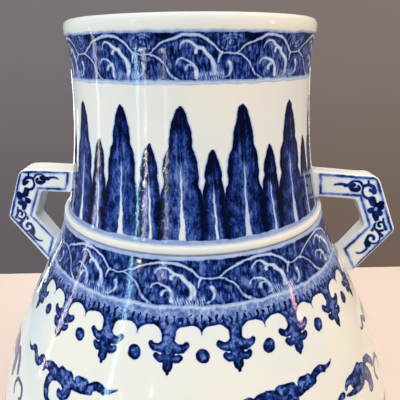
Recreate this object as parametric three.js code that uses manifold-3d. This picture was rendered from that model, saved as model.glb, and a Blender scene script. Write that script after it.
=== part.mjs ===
// A large porcelain hu vase: a pear-shaped body on a splayed foot, a wide waisted neck with a rolled lip,
// a raised fillet where the neck stands on the shoulder, and two bent strap handles.
// It is built as such a vase is made: sections thrown on the wheel are luted rim to rim with slip, and the
// fillet and the handles are made apart and stuck on. Millimetres, +Z up, origin on the floor at the axis.
import * as THREE from 'three';
import { mergeVertices } from 'three/addons/utils/BufferGeometryUtils.js';
import Module from 'manifold-3d';

// Heights of the sections, from the floor up.
const footTall = 30;
const lowerBodyTall = 120;
const upperBodyTall = 211.4;
const neckTall = 138.6;

// Outer radii at the joints between the sections and at the two rims.
const footRimRadius = 113;
const footJointRadius = 104.5;
const bellyRadius = 173.5;
const shoulderRadius = 103.4;
const neckBaseRadius = 98.6;
const mouthRadius = 87.7;
const lipRadius = 89.5;

// Thickness of the clay.
const bodyWall = 7.5;
const neckWall = 7;
const floorThick = 9;
const footWall = 9.5;
const footRimFlat = 8;

// How far each end of a section pulls on the curve between its ends, and how much that end leans outwards
// for each millimetre of height.
const footJointPull = 32;
const footJointLean = 0.17;
const bellyPullDown = 62;
const bellyPullUp = 112;
const shoulderPull = 43;
const shoulderLean = 0.17;
const neckBasePull = 35;
const neckBaseLean = 0.24;
const mouthPull = 45;
const mouthLean = 0.042;

// The lip, the softened edges, and the corner between the wall and the floor inside.
const lipTall = 9.5;
const lipCrown = 5.4;
const edgeSoft = 1.2;
const footEdge = 4;
const innerCorner = 14;
const jointBlend = 12;

// The raised fillet round the foot of the neck.
const filletTall = 7;
const filletProud = 3.9;

// The handles: a strap bent twice, deepest at its upper elbow and shallowest where it lands on the shoulder.
// The elbows are measured from the top edge of the shoulder.
const handleFace = 20.5;
const handleDeep = 20.5;
const handleDeepLanding = 11.5;
const upperElbowOut = 32;
const upperElbowUp = 18.2;
const lowerElbowOut = 45.6;
const lowerElbowDown = 15.4;
const handleLandingDown = 48.3;
const elbowOutside = 4;
const elbowInside = 2.5;
const handleEdge = 1.3;

// The joint of slip between a stuck-on piece and the wall.
const slipGap = 0.3;

// Fineness of the turned surfaces.
const around = 60;
const bodySteps = 10;
const neckSteps = 8;
const roundSteps = 3;
const halvings = 40;

const bellyLevel = footTall + lowerBodyTall;
const shoulderLevel = bellyLevel + upperBodyTall;
const lipLevel = shoulderLevel + neckTall;
const mouthLevel = lipLevel - lipTall;
const floorLevel = footTall + floorThick;
const neckStartLevel = shoulderLevel + filletTall;

const glaze = { colour: '#e6e5dd', roughness: 0.12 };
const paintedGlaze = { colour: '#8d9bbd', roughness: 0.12 };
const footGlaze = { colour: '#a9b3cb', roughness: 0.18 };

const wasm = await Module();
wasm.setup();

function at(radius, level) {
  return new THREE.Vector2(radius, level);
}

// A section's outer curve, from its lower end to its upper end.
function wallCurve(low, lowPull, lowLean, high, highPull, highLean) {
  const lowControl = at(low.x + lowPull * lowLean, low.y + lowPull);
  const highControl = at(high.x + highPull * highLean, high.y - highPull);
  return new THREE.CubicBezierCurve(low, lowControl, highControl, high);
}

const lowerBodyCurve = wallCurve(
  at(footJointRadius, footTall), footJointPull, footJointLean,
  at(bellyRadius, bellyLevel), bellyPullDown, 0,
);
const upperBodyCurve = wallCurve(
  at(bellyRadius, bellyLevel), bellyPullUp, 0,
  at(shoulderRadius, shoulderLevel), shoulderPull, shoulderLean,
);
const neckCurve = wallCurve(
  at(neckBaseRadius, neckStartLevel), neckBasePull, -neckBaseLean,
  at(mouthRadius, mouthLevel), mouthPull, -mouthLean,
);

// The outer radius of a section's curve at a level, found by halving.
function radiusAt(curve, level) {
  let low = 0;
  let high = 1;
  for (let i = 0; i < halvings; i += 1) {
    const middle = (low + high) / 2;
    if (curve.getPoint(middle).y < level) {
      low = middle;
    } else {
      high = middle;
    }
  }
  return curve.getPoint(low).x;
}

// The inside of a wall of even thickness, at the same heights as the points of its outer curve.
function insideOf(curve, steps, wall) {
  const points = [];
  for (let i = 0; i <= steps; i += 1) {
    const t = i / steps;
    const point = curve.getPoint(t);
    const slope = curve.getTangent(t);
    points.push(at(point.x - wall / Math.abs(slope.y), point.y));
  }
  return points;
}

// Points of a quarter round that leaves start along one side of corner and reaches end along the other.
function quarterRound(start, corner, end) {
  return new THREE.QuadraticBezierCurve(start, corner, end).getPoints(roundSteps);
}

// A solid turned round the axis. Its outline starts and ends on the axis, or is closed on itself.
function turned(outline) {
  const geometry = new THREE.LatheGeometry(outline, around);
  geometry.rotateX(Math.PI / 2);
  return closedMesh(geometry);
}

// Shares the vertices of a geometry, drops its flat triangles and turns its faces outwards.
function closedMesh(geometry) {
  geometry.deleteAttribute('normal');
  geometry.deleteAttribute('uv');
  const merged = mergeVertices(geometry, 1e-4);
  const index = merged.getIndex().array;
  const corner = [new THREE.Vector3(), new THREE.Vector3(), new THREE.Vector3()];
  const kept = [];
  let volume = 0;
  for (let i = 0; i < index.length; i += 3) {
    const [a, b, c] = [index[i], index[i + 1], index[i + 2]];
    if (a === b || b === c || c === a) {
      continue;
    }
    corner[0].fromBufferAttribute(merged.getAttribute('position'), a);
    corner[1].fromBufferAttribute(merged.getAttribute('position'), b);
    corner[2].fromBufferAttribute(merged.getAttribute('position'), c);
    volume += corner[0].dot(corner[1].clone().cross(corner[2]));
    kept.push(a, b, c);
  }
  if (volume < 0) {
    kept.reverse();
  }
  merged.setIndex(kept);
  return merged;
}

function solidOf(geometry) {
  const mesh = new wasm.Mesh({
    numProp: 3,
    vertProperties: new Float32Array(geometry.getAttribute('position').array),
    triVerts: new Uint32Array(geometry.getIndex().array),
  });
  return new wasm.Manifold(mesh);
}

function geometryOf(solid) {
  const mesh = solid.getMesh();
  const geometry = new THREE.BufferGeometry();
  geometry.setAttribute('position', new THREE.BufferAttribute(mesh.vertProperties, 3));
  geometry.setIndex(new THREE.BufferAttribute(mesh.triVerts, 1));
  return geometry;
}

// The foot: a splayed ring with a flat unglazed rim to stand on.
function footRing() {
  const innerTop = at(footJointRadius - footWall, footTall);
  const rimOuter = at(footRimRadius - footEdge, 0);
  const rimInner = at(rimOuter.x - footRimFlat, 0);
  const flare = new THREE.CubicBezierCurve(
    at(footJointRadius, footTall),
    at(footJointRadius, footTall / 2),
    at(footRimRadius, footTall / 2),
    at(footRimRadius, footEdge),
  );
  return turned([
    innerTop,
    ...flare.getPoints(bodySteps / 2),
    ...quarterRound(at(footRimRadius, footEdge), at(footRimRadius, 0), rimOuter).slice(1),
    rimInner,
    at(rimInner.x - edgeSoft, edgeSoft),
    innerTop,
  ]);
}

// The lower half of the body, thrown with the floor.
function lowerBody() {
  const inside = insideOf(lowerBodyCurve, bodySteps, bodyWall).filter((p) => p.y > floorLevel + innerCorner);
  const lowest = inside[0];
  const corner = at(radiusAt(lowerBodyCurve, floorLevel) - bodyWall, floorLevel);
  return turned([
    at(0, footTall),
    ...lowerBodyCurve.getPoints(bodySteps),
    ...inside.reverse(),
    ...quarterRound(lowest, corner, at(corner.x - innerCorner, floorLevel)).slice(1),
    at(0, floorLevel),
  ]);
}

// The upper half of the body, up to the ledge that the neck stands on. Inside it runs on into the neck.
function upperBody() {
  const outside = upperBodyCurve.getPoints(bodySteps).filter((p) => p.y < shoulderLevel - edgeSoft);
  const inside = insideOf(upperBodyCurve, bodySteps, bodyWall).filter((p) => p.y < shoulderLevel - jointBlend);
  const edge = upperBodyCurve.getPoint(1 - edgeSoft / upperBodyTall);
  return turned([
    ...outside,
    edge,
    at(shoulderRadius - edgeSoft, shoulderLevel),
    at(neckBaseRadius - neckWall, shoulderLevel),
    ...inside.reverse(),
    outside[0],
  ]);
}

// The neck, from the ledge to the rolled lip.
function neck() {
  const inside = insideOf(neckCurve, neckSteps, neckWall);
  const widest = at(lipRadius, lipLevel - lipCrown);
  const crown = at((lipRadius + mouthRadius - neckWall) / 2, lipLevel);
  const innerEdge = at(mouthRadius - neckWall, lipLevel - lipCrown);
  return turned([
    at(neckBaseRadius, shoulderLevel),
    ...neckCurve.getPoints(neckSteps),
    ...quarterRound(at(mouthRadius, mouthLevel), at(lipRadius, mouthLevel), widest).slice(1),
    ...quarterRound(widest, at(lipRadius, lipLevel), crown).slice(1),
    ...quarterRound(crown, at(innerEdge.x, lipLevel), innerEdge).slice(1),
    ...inside.reverse(),
    at(neckBaseRadius - neckWall, shoulderLevel),
    at(neckBaseRadius, shoulderLevel),
  ]);
}

// The raised fillet: a half-round band laid on the shoulder's ledge, round the foot of the neck.
function neckFillet() {
  const seat = neckBaseRadius + slipGap;
  const crest = neckBaseRadius + filletProud;
  const bottom = at(Math.min(crest, shoulderRadius) - edgeSoft, shoulderLevel);
  const middle = at(crest, shoulderLevel + filletTall / 2);
  const top = at(seat, neckStartLevel);
  return turned([
    at(seat, shoulderLevel),
    ...quarterRound(bottom, at(crest, shoulderLevel), middle),
    ...quarterRound(middle, at(crest, neckStartLevel), top).slice(1),
    at(seat, shoulderLevel),
  ]);
}

// The whole vase as one solid, grown by the slip: what the ends of the handles are cut to.
function wallForHandles() {
  const low = upperBodyCurve.getPoints(bodySteps);
  const high = neckCurve.getPoints(neckSteps);
  const base = at(neckBaseRadius, shoulderLevel);
  const profile = [...low, base, ...high].map((p) => at(p.x + slipGap, p.y));
  return solidOf(turned([at(0, bellyLevel), ...profile, at(0, mouthLevel)]));
}

// Moves a line between two points sideways, to the right of its direction.
function beside(from, to, distance) {
  const direction = to.clone().sub(from).normalize();
  const shift = at(direction.y, -direction.x).multiplyScalar(distance);
  return { start: from.clone().add(shift), end: to.clone().add(shift), direction };
}

// Where two lines cross.
function crossing(first, second) {
  const span = second.start.clone().sub(first.start);
  const along = span.cross(second.direction) / first.direction.cross(second.direction);
  return first.start.clone().addScaledVector(first.direction, along);
}

// One edge of the bent strap, at a distance from its centre line, with its two elbows rounded.
function strapEdge(centre, distance, rounding) {
  const sides = [0, 1, 2].map((i) => beside(centre[i], centre[i + 1], distance));
  const points = [sides[0].start];
  for (let i = 0; i < 2; i += 1) {
    const corner = crossing(sides[i], sides[i + 1]);
    const before = corner.clone().addScaledVector(sides[i].direction, -rounding);
    const after = corner.clone().addScaledVector(sides[i + 1].direction, rounding);
    points.push(...quarterRound(before, corner, after));
  }
  points.push(sides[2].end);
  return points;
}

// The strap's centre line, from inside the neck's wall, round two elbows, to inside the shoulder's wall.
function handleCentre() {
  const upperElbow = at(shoulderRadius + upperElbowOut, shoulderLevel + upperElbowUp);
  const lowerElbow = at(shoulderRadius + lowerElbowOut, shoulderLevel - lowerElbowDown);
  const landingLevel = shoulderLevel - handleLandingDown;
  const landing = at(radiusAt(upperBodyCurve, landingLevel), landingLevel);
  const inwards = landing.clone().sub(lowerElbow).normalize();
  const neckRadius = radiusAt(neckCurve, upperElbow.y);
  return [
    at(neckRadius - handleFace, upperElbow.y),
    upperElbow,
    lowerElbow,
    landing.clone().addScaledVector(inwards, handleFace),
  ];
}

// Makes the strap shallower evenly on its way down, from the upper elbow's level to the landing's.
function taperStrap(geometry) {
  const position = geometry.getAttribute('position');
  const high = shoulderLevel + upperElbowUp;
  const low = shoulderLevel - handleLandingDown;
  for (let i = 0; i < position.count; i += 1) {
    const down = (high - position.getZ(i)) / (high - low);
    const deep = THREE.MathUtils.lerp(handleDeep, handleDeepLanding, down);
    position.setY(i, (position.getY(i) * deep) / handleDeep);
  }
  return geometry;
}

function handle() {
  const centre = handleCentre();
  const outer = strapEdge(centre, -handleFace / 2, elbowOutside);
  const inner = strapEdge(centre, handleFace / 2, elbowInside);
  const outline = new THREE.Shape([...outer, ...inner.reverse()]);
  const flatDepth = handleDeep - 2 * handleEdge;
  const strap = new THREE.ExtrudeGeometry(outline, {
    depth: flatDepth,
    bevelThickness: handleEdge,
    bevelSize: handleEdge,
    bevelOffset: -handleEdge,
    bevelSegments: 2,
  });
  strap.translate(0, 0, -flatDepth / 2);
  strap.rotateX(Math.PI / 2);
  return geometryOf(solidOf(taperStrap(closedMesh(strap))).subtract(wallForHandles()));
}

function piece(name, geometry, finish) {
  const material = new THREE.MeshStandardMaterial({
    name,
    color: finish.colour,
    roughness: finish.roughness,
    metalness: 0,
  });
  geometry.computeVertexNormals();
  const mesh = new THREE.Mesh(geometry, material);
  mesh.name = name;
  return mesh;
}

const vase = new THREE.Group();
vase.name = 'hu_vase';
vase.add(piece('foot_ring', footRing(), footGlaze));
vase.add(piece('lower_body', lowerBody(), paintedGlaze));
vase.add(piece('upper_body', upperBody(), paintedGlaze));
vase.add(piece('neck', neck(), paintedGlaze));
vase.add(piece('neck_fillet', neckFillet(), glaze));
vase.add(piece('handle_right', handle(), glaze));

const leftHandle = piece('handle_left', handle(), glaze);
leftHandle.rotation.z = Math.PI;
vase.add(leftHandle);

export default vase;
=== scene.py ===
"""A large blue-and-white porcelain hu vase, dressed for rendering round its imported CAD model.

The sections of the body are turned again more finely than the CAD nodes that they stand for, the handles are
cut and softened, and the cobalt painting is drawn in the glaze by shader nodes: brush strokes measured in
millimetres on the wall. Blender works in metres; the sizes below are in millimetres unless they say
otherwise.
"""

import functools
import math

import bmesh
import bpy
from bpy.props import FloatProperty, FloatVectorProperty, IntProperty, PointerProperty
from mathutils import Matrix, Vector


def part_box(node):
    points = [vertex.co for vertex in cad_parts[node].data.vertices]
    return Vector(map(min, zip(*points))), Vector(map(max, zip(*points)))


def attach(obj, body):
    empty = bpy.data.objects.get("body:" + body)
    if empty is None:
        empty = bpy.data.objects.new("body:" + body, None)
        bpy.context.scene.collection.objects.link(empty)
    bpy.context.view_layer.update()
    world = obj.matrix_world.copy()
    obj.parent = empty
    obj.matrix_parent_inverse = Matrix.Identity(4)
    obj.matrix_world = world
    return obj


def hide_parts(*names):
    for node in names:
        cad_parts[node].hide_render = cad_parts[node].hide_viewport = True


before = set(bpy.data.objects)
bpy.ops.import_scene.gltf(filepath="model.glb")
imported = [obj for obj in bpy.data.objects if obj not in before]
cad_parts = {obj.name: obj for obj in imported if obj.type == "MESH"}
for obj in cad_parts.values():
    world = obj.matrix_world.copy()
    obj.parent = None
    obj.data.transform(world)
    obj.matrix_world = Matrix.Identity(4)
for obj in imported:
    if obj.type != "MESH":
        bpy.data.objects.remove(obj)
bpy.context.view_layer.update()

bl_info = {
    "name": "Painted hu vase",
    "version": (1, 0, 0),
    "blender": (4, 5, 0),
    "location": "View3D > Sidebar > Vase",
    "description": "Turns and paints a blue-and-white porcelain hu vase with two strap handles",
    "category": "Mesh",
}

MM = 0.001
BODY = "root"

# Levels of the sections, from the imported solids, from the floor up.
FOOT_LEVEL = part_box("lower_body")[0].z / MM
BELLY_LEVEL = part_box("upper_body")[0].z / MM
SHOULDER_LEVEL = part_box("upper_body")[1].z / MM
NECK_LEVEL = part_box("neck_fillet")[1].z / MM
LIP_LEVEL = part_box("neck")[1].z / MM
FOOT_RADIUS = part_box("foot_ring")[1].x / MM
BELLY_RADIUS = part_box("upper_body")[1].x / MM
HANDLE_HALF_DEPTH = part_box("handle_right")[1].y / MM
HANDLE_TOP_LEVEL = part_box("handle_right")[1].z / MM

# The curves between those levels, as the solids have them.
FOOT_JOINT_RADIUS = 104.5
SHOULDER_RADIUS = 103.4
NECK_BASE_RADIUS = 98.6
MOUTH_RADIUS = 87.7
LIP_RADIUS = 89.5
LIP_TALL = 9.5
LIP_CROWN = 5.4
MOUTH_LEVEL = LIP_LEVEL - LIP_TALL
BODY_WALL = 7.5
NECK_WALL = 7.0
FLOOR_LEVEL = FOOT_LEVEL + 9.0
FOOT_WALL = 9.5
FOOT_RIM_FLAT = 8.0
FOOT_EDGE = 4.0
INNER_CORNER = 14.0
SOFT_EDGE = 1.2
JOINT_BLEND = 12.0
FILLET_PROUD = 3.9
FILLET_BEAD = 4.9
LIP_FLARE = 14.0
SLIP_GAP = 0.3

# Fineness of the turned surfaces.
AROUND = 192
RING_STEP = 3.0

# The levels between which each zone of painting lies.
RIM_LINE_LEVEL = 462.2
RIM_BAND_LOW = 464.5
RIM_BAND_HIGH = 489.4
RIM_ZONE_LOW = 459.0
RIM_ZONE_HIGH = 492.0
LEAF_ZONE_HIGH = 454.0
LEAF_LOW = 370.3
SHOULDER_BAND_LOW = 334.4
SHOULDER_BAND_HIGH = 359.6
SHOULDER_ZONE_LOW = 333.0
PENDANT_ZONE_LOW = 297.0
CLOUD_ZONE_LOW = 112.0
PETAL_LOW = 46.0
PETAL_HIGH = 104.0
FOOT_BAND_LOW = 7.0
FOOT_BAND_HIGH = 26.5

# The direction on the wall that faces the photograph's camera, from +X. Motifs are counted from it.
FRONT_TURN = math.radians(-82.52)


def colour_of(red, green, blue):
    """A colour written as 0 to 255 in sRGB, in the linear values that Blender's colour fields hold."""
    linear = []
    for value in (red, green, blue):
        share = value / 255
        linear.append(share / 12.92 if share <= 0.04045 else ((share + 0.055) / 1.055) ** 2.4)
    return tuple(linear)


def tint(name, description, *levels):
    return FloatVectorProperty(
        name=name, description=description, subtype="COLOR", size=3, default=colour_of(*levels), min=0, max=1,
    )


def number(name, description, default, low, high):
    return IntProperty(name=name, description=description, default=default, min=low, max=high)


def length(name, description, default):
    return FloatProperty(name=name, description=description, default=default * MM, min=0, unit="LENGTH")


class VaseGlaze(bpy.types.PropertyGroup):
    """Colours of the clay, the glaze and the cobalt under it"""

    white: tint("Glaze", "Plain glaze over the white body", 231, 228, 216)
    pooled: tint("Pooled glaze", "Glaze where it lies thick", 219, 224, 222)
    breath: tint("Faintest cobalt", "The haze that bleeds out of the painting", 186, 200, 222)
    wash: tint("Cobalt wash", "Thin watery cobalt", 112, 137, 192)
    middle: tint("Cobalt", "Cobalt of middling strength", 38, 68, 142)
    strong: tint("Strong cobalt", "Outlines and full brush strokes", 10, 31, 94)
    heaped: tint("Heaped cobalt", "Spots where the pigment lies thick and blackish", 0, 6, 38)
    bare_clay: tint("Bare clay", "The unglazed rim of the foot", 205, 190, 165)
    gloss: FloatProperty(
        name="Glaze roughness", description="Roughness of the glaze where it is smoothest",
        default=0.07, min=0, max=1, subtype="FACTOR",
    )


class VasePattern(bpy.types.PropertyGroup):
    """How the painted motifs are spaced round the vase"""

    waves: number("Waves", "Breaking waves round each wave band", 11, 3, 40)
    leaves: number(
        "Leaves", "Tall plantain leaves round the neck, each with a short one beside it", 15, 3, 60,
    )
    pendants: number("Pendants", "Trefoil pendants under the shoulder", 19, 3, 60)
    clouds: number("Clouds", "Ribbon clouds in each row round the body", 6, 2, 20)
    petals: number("Petals", "Upright petal panels above the foot", 16, 3, 60)
    wobble: length("Wobble", "How far a hand-drawn line strays", 0.75)


class VaseHandleSizes(bpy.types.PropertyGroup):
    """Sizes of the two strap handles"""

    soft: length("Edge round", "Radius that softens the long edges of the strap", 1.9)
    flare: length("Flare", "How much the strap widens where it is luted to the wall", 1.6)


class Curve:
    """A cubic curve of radius against level, between two ends with a pull and a lean at each."""

    def __init__(self, low, low_pull, low_lean, high, high_pull, high_lean):
        self.points = (
            Vector(low),
            Vector((low[0] + low_pull * low_lean, low[1] + low_pull)),
            Vector((high[0] + high_pull * high_lean, high[1] - high_pull)),
            Vector(high),
        )

    def at(self, t):
        """The point at a share of the way along."""
        a, b, c, d = self.points
        s = 1 - t
        return a * s**3 + b * 3 * s * s * t + c * 3 * s * t * t + d * t**3

    def along(self, t):
        """The direction of the curve there, upwards."""
        a, b, c, d = self.points
        s = 1 - t
        slope = (b - a) * s * s + (c - b) * 2 * s * t + (d - c) * t * t
        return slope.normalized()

    def share_at(self, level):
        """The share of the way along at which the curve is at a level, found by halving."""
        low, high = 0.0, 1.0
        for _ in range(40):
            middle = (low + high) / 2
            if self.at(middle).y < level:
                low = middle
            else:
                high = middle
        return (low + high) / 2

    def radius(self, level):
        return self.at(self.share_at(level)).x


LOWER_CURVE = Curve((FOOT_JOINT_RADIUS, FOOT_LEVEL), 32, 0.17, (BELLY_RADIUS, BELLY_LEVEL), 62, 0)
UPPER_CURVE = Curve((BELLY_RADIUS, BELLY_LEVEL), 112, 0, (SHOULDER_RADIUS, SHOULDER_LEVEL), 43, 0.17)
NECK_CURVE = Curve((NECK_BASE_RADIUS, NECK_LEVEL), 35, -0.24, (MOUTH_RADIUS, MOUTH_LEVEL), 45, -0.042)
FOOT_CURVE = Curve((FOOT_RADIUS, FOOT_EDGE), 11, 0, (FOOT_JOINT_RADIUS, FOOT_LEVEL), 15, 0)
LIP_START = LIP_LEVEL - LIP_CROWN - LIP_FLARE
CROWN_LEVEL = LIP_LEVEL - LIP_CROWN
LIP_CURVE = Curve((NECK_CURVE.radius(LIP_START), LIP_START), 5, 0.045, (LIP_RADIUS, CROWN_LEVEL), 4, 0.06)


class Ring:
    """One ring of a turned piece: radius, level, the zone of surface that starts there, and its normal."""

    def __init__(self, radius, level, zone, normal=None):
        self.radius = radius
        self.level = level
        self.zone = zone
        self.normal = normal


def wall_rings(curve, zones, top):
    """Rings up a wall's outer curve to a level. zones lists, from below, where each zone starts."""
    levels = [level for level, _ in zones] + [top]
    rings = []
    for number, (start, zone) in enumerate(zones):
        stop = levels[number + 1]
        count = max(1, round((stop - start) / RING_STEP))
        for step in range(count):
            rings.append(ring_on(curve, start + (stop - start) * step / count, zone))
    return rings


def ring_on(curve, level, zone):
    """A ring on an outer curve, with the curve's own normal, so that joints between sections don't show."""
    share = curve.share_at(level)
    point = curve.at(share)
    slope = curve.along(share)
    return Ring(point.x, level, zone, Vector((slope.y, -slope.x)))


def inner_rings(curve, wall, low, high, zone):
    """Rings down the inside of a wall of even thickness."""
    count = max(2, round((high - low) / (RING_STEP * 2)))
    rings = []
    for step in range(count + 1):
        level = high - (high - low) * step / count
        share = curve.share_at(level)
        rings.append(Ring(curve.at(share).x - wall / curve.along(share).y, level, zone))
    return rings


def round_rings(start, corner, end, zone, steps=8):
    """Rings round a corner, from start to end, leaving out the first."""
    a, b, c = Vector(start), Vector(corner), Vector(end)
    rings = []
    for step in range(1, steps + 1):
        t = step / steps
        point = a * (1 - t) ** 2 + b * 2 * t * (1 - t) + c * t * t
        rings.append(Ring(point.x, point.y, zone))
    return rings


def finish_piece(bm, name, materials, slot, *nodes):
    """Makes the piece from its bmesh, gives it its materials and ties it to the frame."""
    mesh = bpy.data.meshes.new(name)
    bm.to_mesh(mesh)
    bm.free()
    piece = bpy.data.objects.new(name, mesh)
    bpy.context.scene.collection.objects.link(piece)
    for material in materials:
        mesh.materials.append(material)
    for face in mesh.polygons:
        face.use_smooth = True
    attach(piece, BODY)
    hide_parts(*nodes)
    return piece


def turned_piece(name, rings, closed, materials, slot, node):
    """Turns rings round the axis into one closed shell, numbers its zones and lays out its UV map."""
    bm = bmesh.new()
    number_layer = bm.verts.layers.int.new("ring")
    verts = []
    for number, ring in enumerate(rings):
        vert = bm.verts.new((ring.radius * MM, 0, ring.level * MM))
        vert[number_layer] = number
        verts.append(vert)
    edges = [bm.edges.new((a, b)) for a, b in zip(verts, verts[1:])]
    if closed:
        edges.append(bm.edges.new((verts[-1], verts[0])))
    bmesh.ops.spin(
        bm, geom=verts + edges, cent=(0, 0, 0), axis=(0, 0, 1), angle=math.tau, steps=AROUND, use_merge=True,
    )
    bmesh.ops.remove_doubles(bm, verts=bm.verts, dist=1e-6)
    bmesh.ops.recalc_face_normals(bm, faces=bm.faces)
    paint_zones(bm, number_layer, rings, closed)
    piece = finish_piece(bm, name, materials, slot, node)
    set_wall_normals(piece.data, rings)
    return piece


def segment_of(face, layer, rings, closed):
    """The number of the ring at which the face's stretch of the outline starts."""
    numbers = sorted({vert[layer] for vert in face.verts})
    if closed and numbers[0] == 0 and numbers[-1] == len(rings) - 1:
        return numbers[-1]
    return numbers[0]


def paint_zones(bm, layer, rings, closed):
    """Gives each face the zone of its ring, and its place in the UV map: the outer wall fills two broad
    strips, front half and back half, and the rest of the piece a narrow strip above them."""
    uv = bm.loops.layers.uv.new("OFBake")
    count = len(rings)
    lengths = [0.0]
    for number in range(count):
        here, there = rings[number], rings[(number + 1) % count]
        lengths.append(lengths[-1] + math.hypot(there.radius - here.radius, there.level - here.level))
    outer = [n for n in range(count) if rings[n].normal is not None]
    outer_low, outer_high = (lengths[outer[0]], lengths[outer[-1] + 1]) if outer else (0.0, 0.0)
    rest = lengths[-1 if closed else -2] - (outer_high - outer_low)
    for face in bm.faces:
        segment = segment_of(face, layer, rings, closed)
        face.material_index = rings[segment].zone
        centre = face.calc_center_median()
        middle = math.atan2(centre.y, centre.x) % math.tau
        for loop in face.loops:
            place = loop.vert.co
            turn = math.atan2(place.y, place.x) % math.tau
            if math.hypot(place.x, place.y) < 1e-6:
                turn = middle
            if turn - middle > math.pi:
                turn -= math.tau
            if middle - turn > math.pi:
                turn += math.tau
            number = loop.vert[layer]
            length = lengths[number]
            if number == 0 and segment == count - 1:
                length = lengths[count]
            loop[uv].uv = place_in_map(turn, middle, length, outer_low, outer_high, rest, segment in outer)


def place_in_map(turn, middle, length, outer_low, outer_high, rest, on_outer):
    """Where a point of the outline, at a turn round the axis, lies in the UV map."""
    strip_tall, gap = 0.43, 0.01
    if on_outer:
        share = (length - outer_low) / (outer_high - outer_low)
        back = middle >= math.pi
        across = turn / math.pi - (1 if back else 0)
        return across, share * strip_tall + (strip_tall + gap if back else 0)
    if length >= outer_high:
        length -= outer_high - outer_low
    low = 2 * (strip_tall + gap) if outer_high else 0
    return turn / math.tau, low + length / rest * (1 - low)


def set_wall_normals(mesh, rings):
    """Gives the outer wall the normals of its curve, so that light runs on over the luted joints."""
    numbers = mesh.attributes["ring"].data
    normals = []
    for face in mesh.polygons:
        on_wall = all(rings[numbers[v].value].normal is not None for v in face.vertices)
        for vertex in face.vertices:
            place = mesh.vertices[vertex].co
            normal = rings[numbers[vertex].value].normal
            reach = math.hypot(place.x, place.y)
            if on_wall and reach > 0:
                normals.append((normal.x * place.x / reach, normal.x * place.y / reach, normal.y))
            else:
                normals.append((0, 0, 0))
    mesh.normals_split_custom_set(normals)


class Strap:
    """How far each long edge of a handle's strap and each line of its painted frame lie from the centre line,
    in millimetres at the two ends of its three stretches: upper bar, side and lower bar."""

    def __init__(self, outer, inner, frame_out, frame_in, frame_ends, lean, rise):
        self.outer = outer
        self.inner = inner
        self.frame_out = frame_out
        self.frame_in = frame_in
        self.frame_ends = frame_ends
        self.lean = lean
        self.rise = rise


# The two handles were bent by hand, and differ a little.
STRAPS = {
    "right": Strap(
        ((-11.4, -9.4), (-10.2, -10.5), (-10.7, -11.4)), ((8.1, 10.9), (10.2, 10.2), (10.4, 11.0)),
        ((-10.2, -8.0), (-8.1, -8.1), (-8.8, -10.6)), ((5.2, 6.3), (6.2, 6.6), (7.0, 7.6)),
        (((101.0, 373.0), (99.6, 391.0)), ((133.6, 309.0), (124.4, 326.6))), 0.08, 0.3,
    ),
    "left": Strap(
        ((-9.4, -9.5), (-10.9, -11.0), (-10.7, -11.8)), ((10.3, 8.8), (11.3, 11.3), (10.8, 11.4)),
        ((-7.5, -7.0), (-9.0, -8.5), (-7.4, -8.2)), ((7.5, 7.0), (8.4, 7.6), (7.8, 8.4)),
        (((105.0, 371.0), (101.0, 389.0)), ((130.4, 309.0), (123.2, 327.6))), 0.06, -0.25,
    ),
}
HANDLE_UPPER_ELBOW = Vector((SHOULDER_RADIUS + 32, SHOULDER_LEVEL + 18.2))
HANDLE_LOWER_ELBOW = Vector((SHOULDER_RADIUS + 45.6, SHOULDER_LEVEL - 15.4))
HANDLE_LANDING_LEVEL = SHOULDER_LEVEL - 48.3
HANDLE_LANDING_HALF_DEPTH = 5.75
HANDLE_BURIED = 3.2
FLARE_REACH = 5.0
FLARE_DEEPENING = 0.6
HANDLE_SPLIT_LEVEL = 350.0
NECK_SEAT = (372.0, 388.0)
SHOULDER_SEAT = (296.0, 333.0)
SEAT_CUTS = (0.6, 1.6, 2.8, 4.2, 6.0)
UPPER_HALF_FACE = 9.5
LOWER_HALF_FACE = 13.0


def beside(start, end, distances):
    """The line between two points with each end moved sideways, to the right of its direction."""
    direction = (end - start).normalized()
    right = Vector((direction.y, -direction.x))
    start, end = start + right * distances[0], end + right * distances[1]
    return start, end, (end - start).normalized()


def crossing(first, second):
    """Where two such lines cross."""
    span = second[0] - first[0]
    turn = first[2].x * second[2].y - first[2].y * second[2].x
    along = (span.x * second[2].y - span.y * second[2].x) / turn
    return first[0] + first[2] * along


def handle_centre():
    """The strap's centre line: where it meets the neck, its two elbows, and where it meets the shoulder."""
    neck = Vector((NECK_CURVE.radius(HANDLE_UPPER_ELBOW.y), HANDLE_UPPER_ELBOW.y))
    landing = Vector((UPPER_CURVE.radius(HANDLE_LANDING_LEVEL), HANDLE_LANDING_LEVEL))
    return [neck, HANDLE_UPPER_ELBOW, HANDLE_LOWER_ELBOW, landing]


def strap_sides(distances):
    """Three lines beside the three stretches of the centre line."""
    centre = handle_centre()
    return [beside(centre[i], centre[i + 1], distances[i]) for i in range(3)]


def wall_crossing(curve, start, direction, buried):
    """Where a line from outside runs into a wall, as far behind its surface as it is buried."""
    near, far = 0.0, 60.0
    for _ in range(40):
        middle = (near + far) / 2
        point = start + direction * middle
        if point.x > curve.radius(point.y) - buried:
            near = middle
        else:
            far = middle
    return start + direction * near


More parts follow.
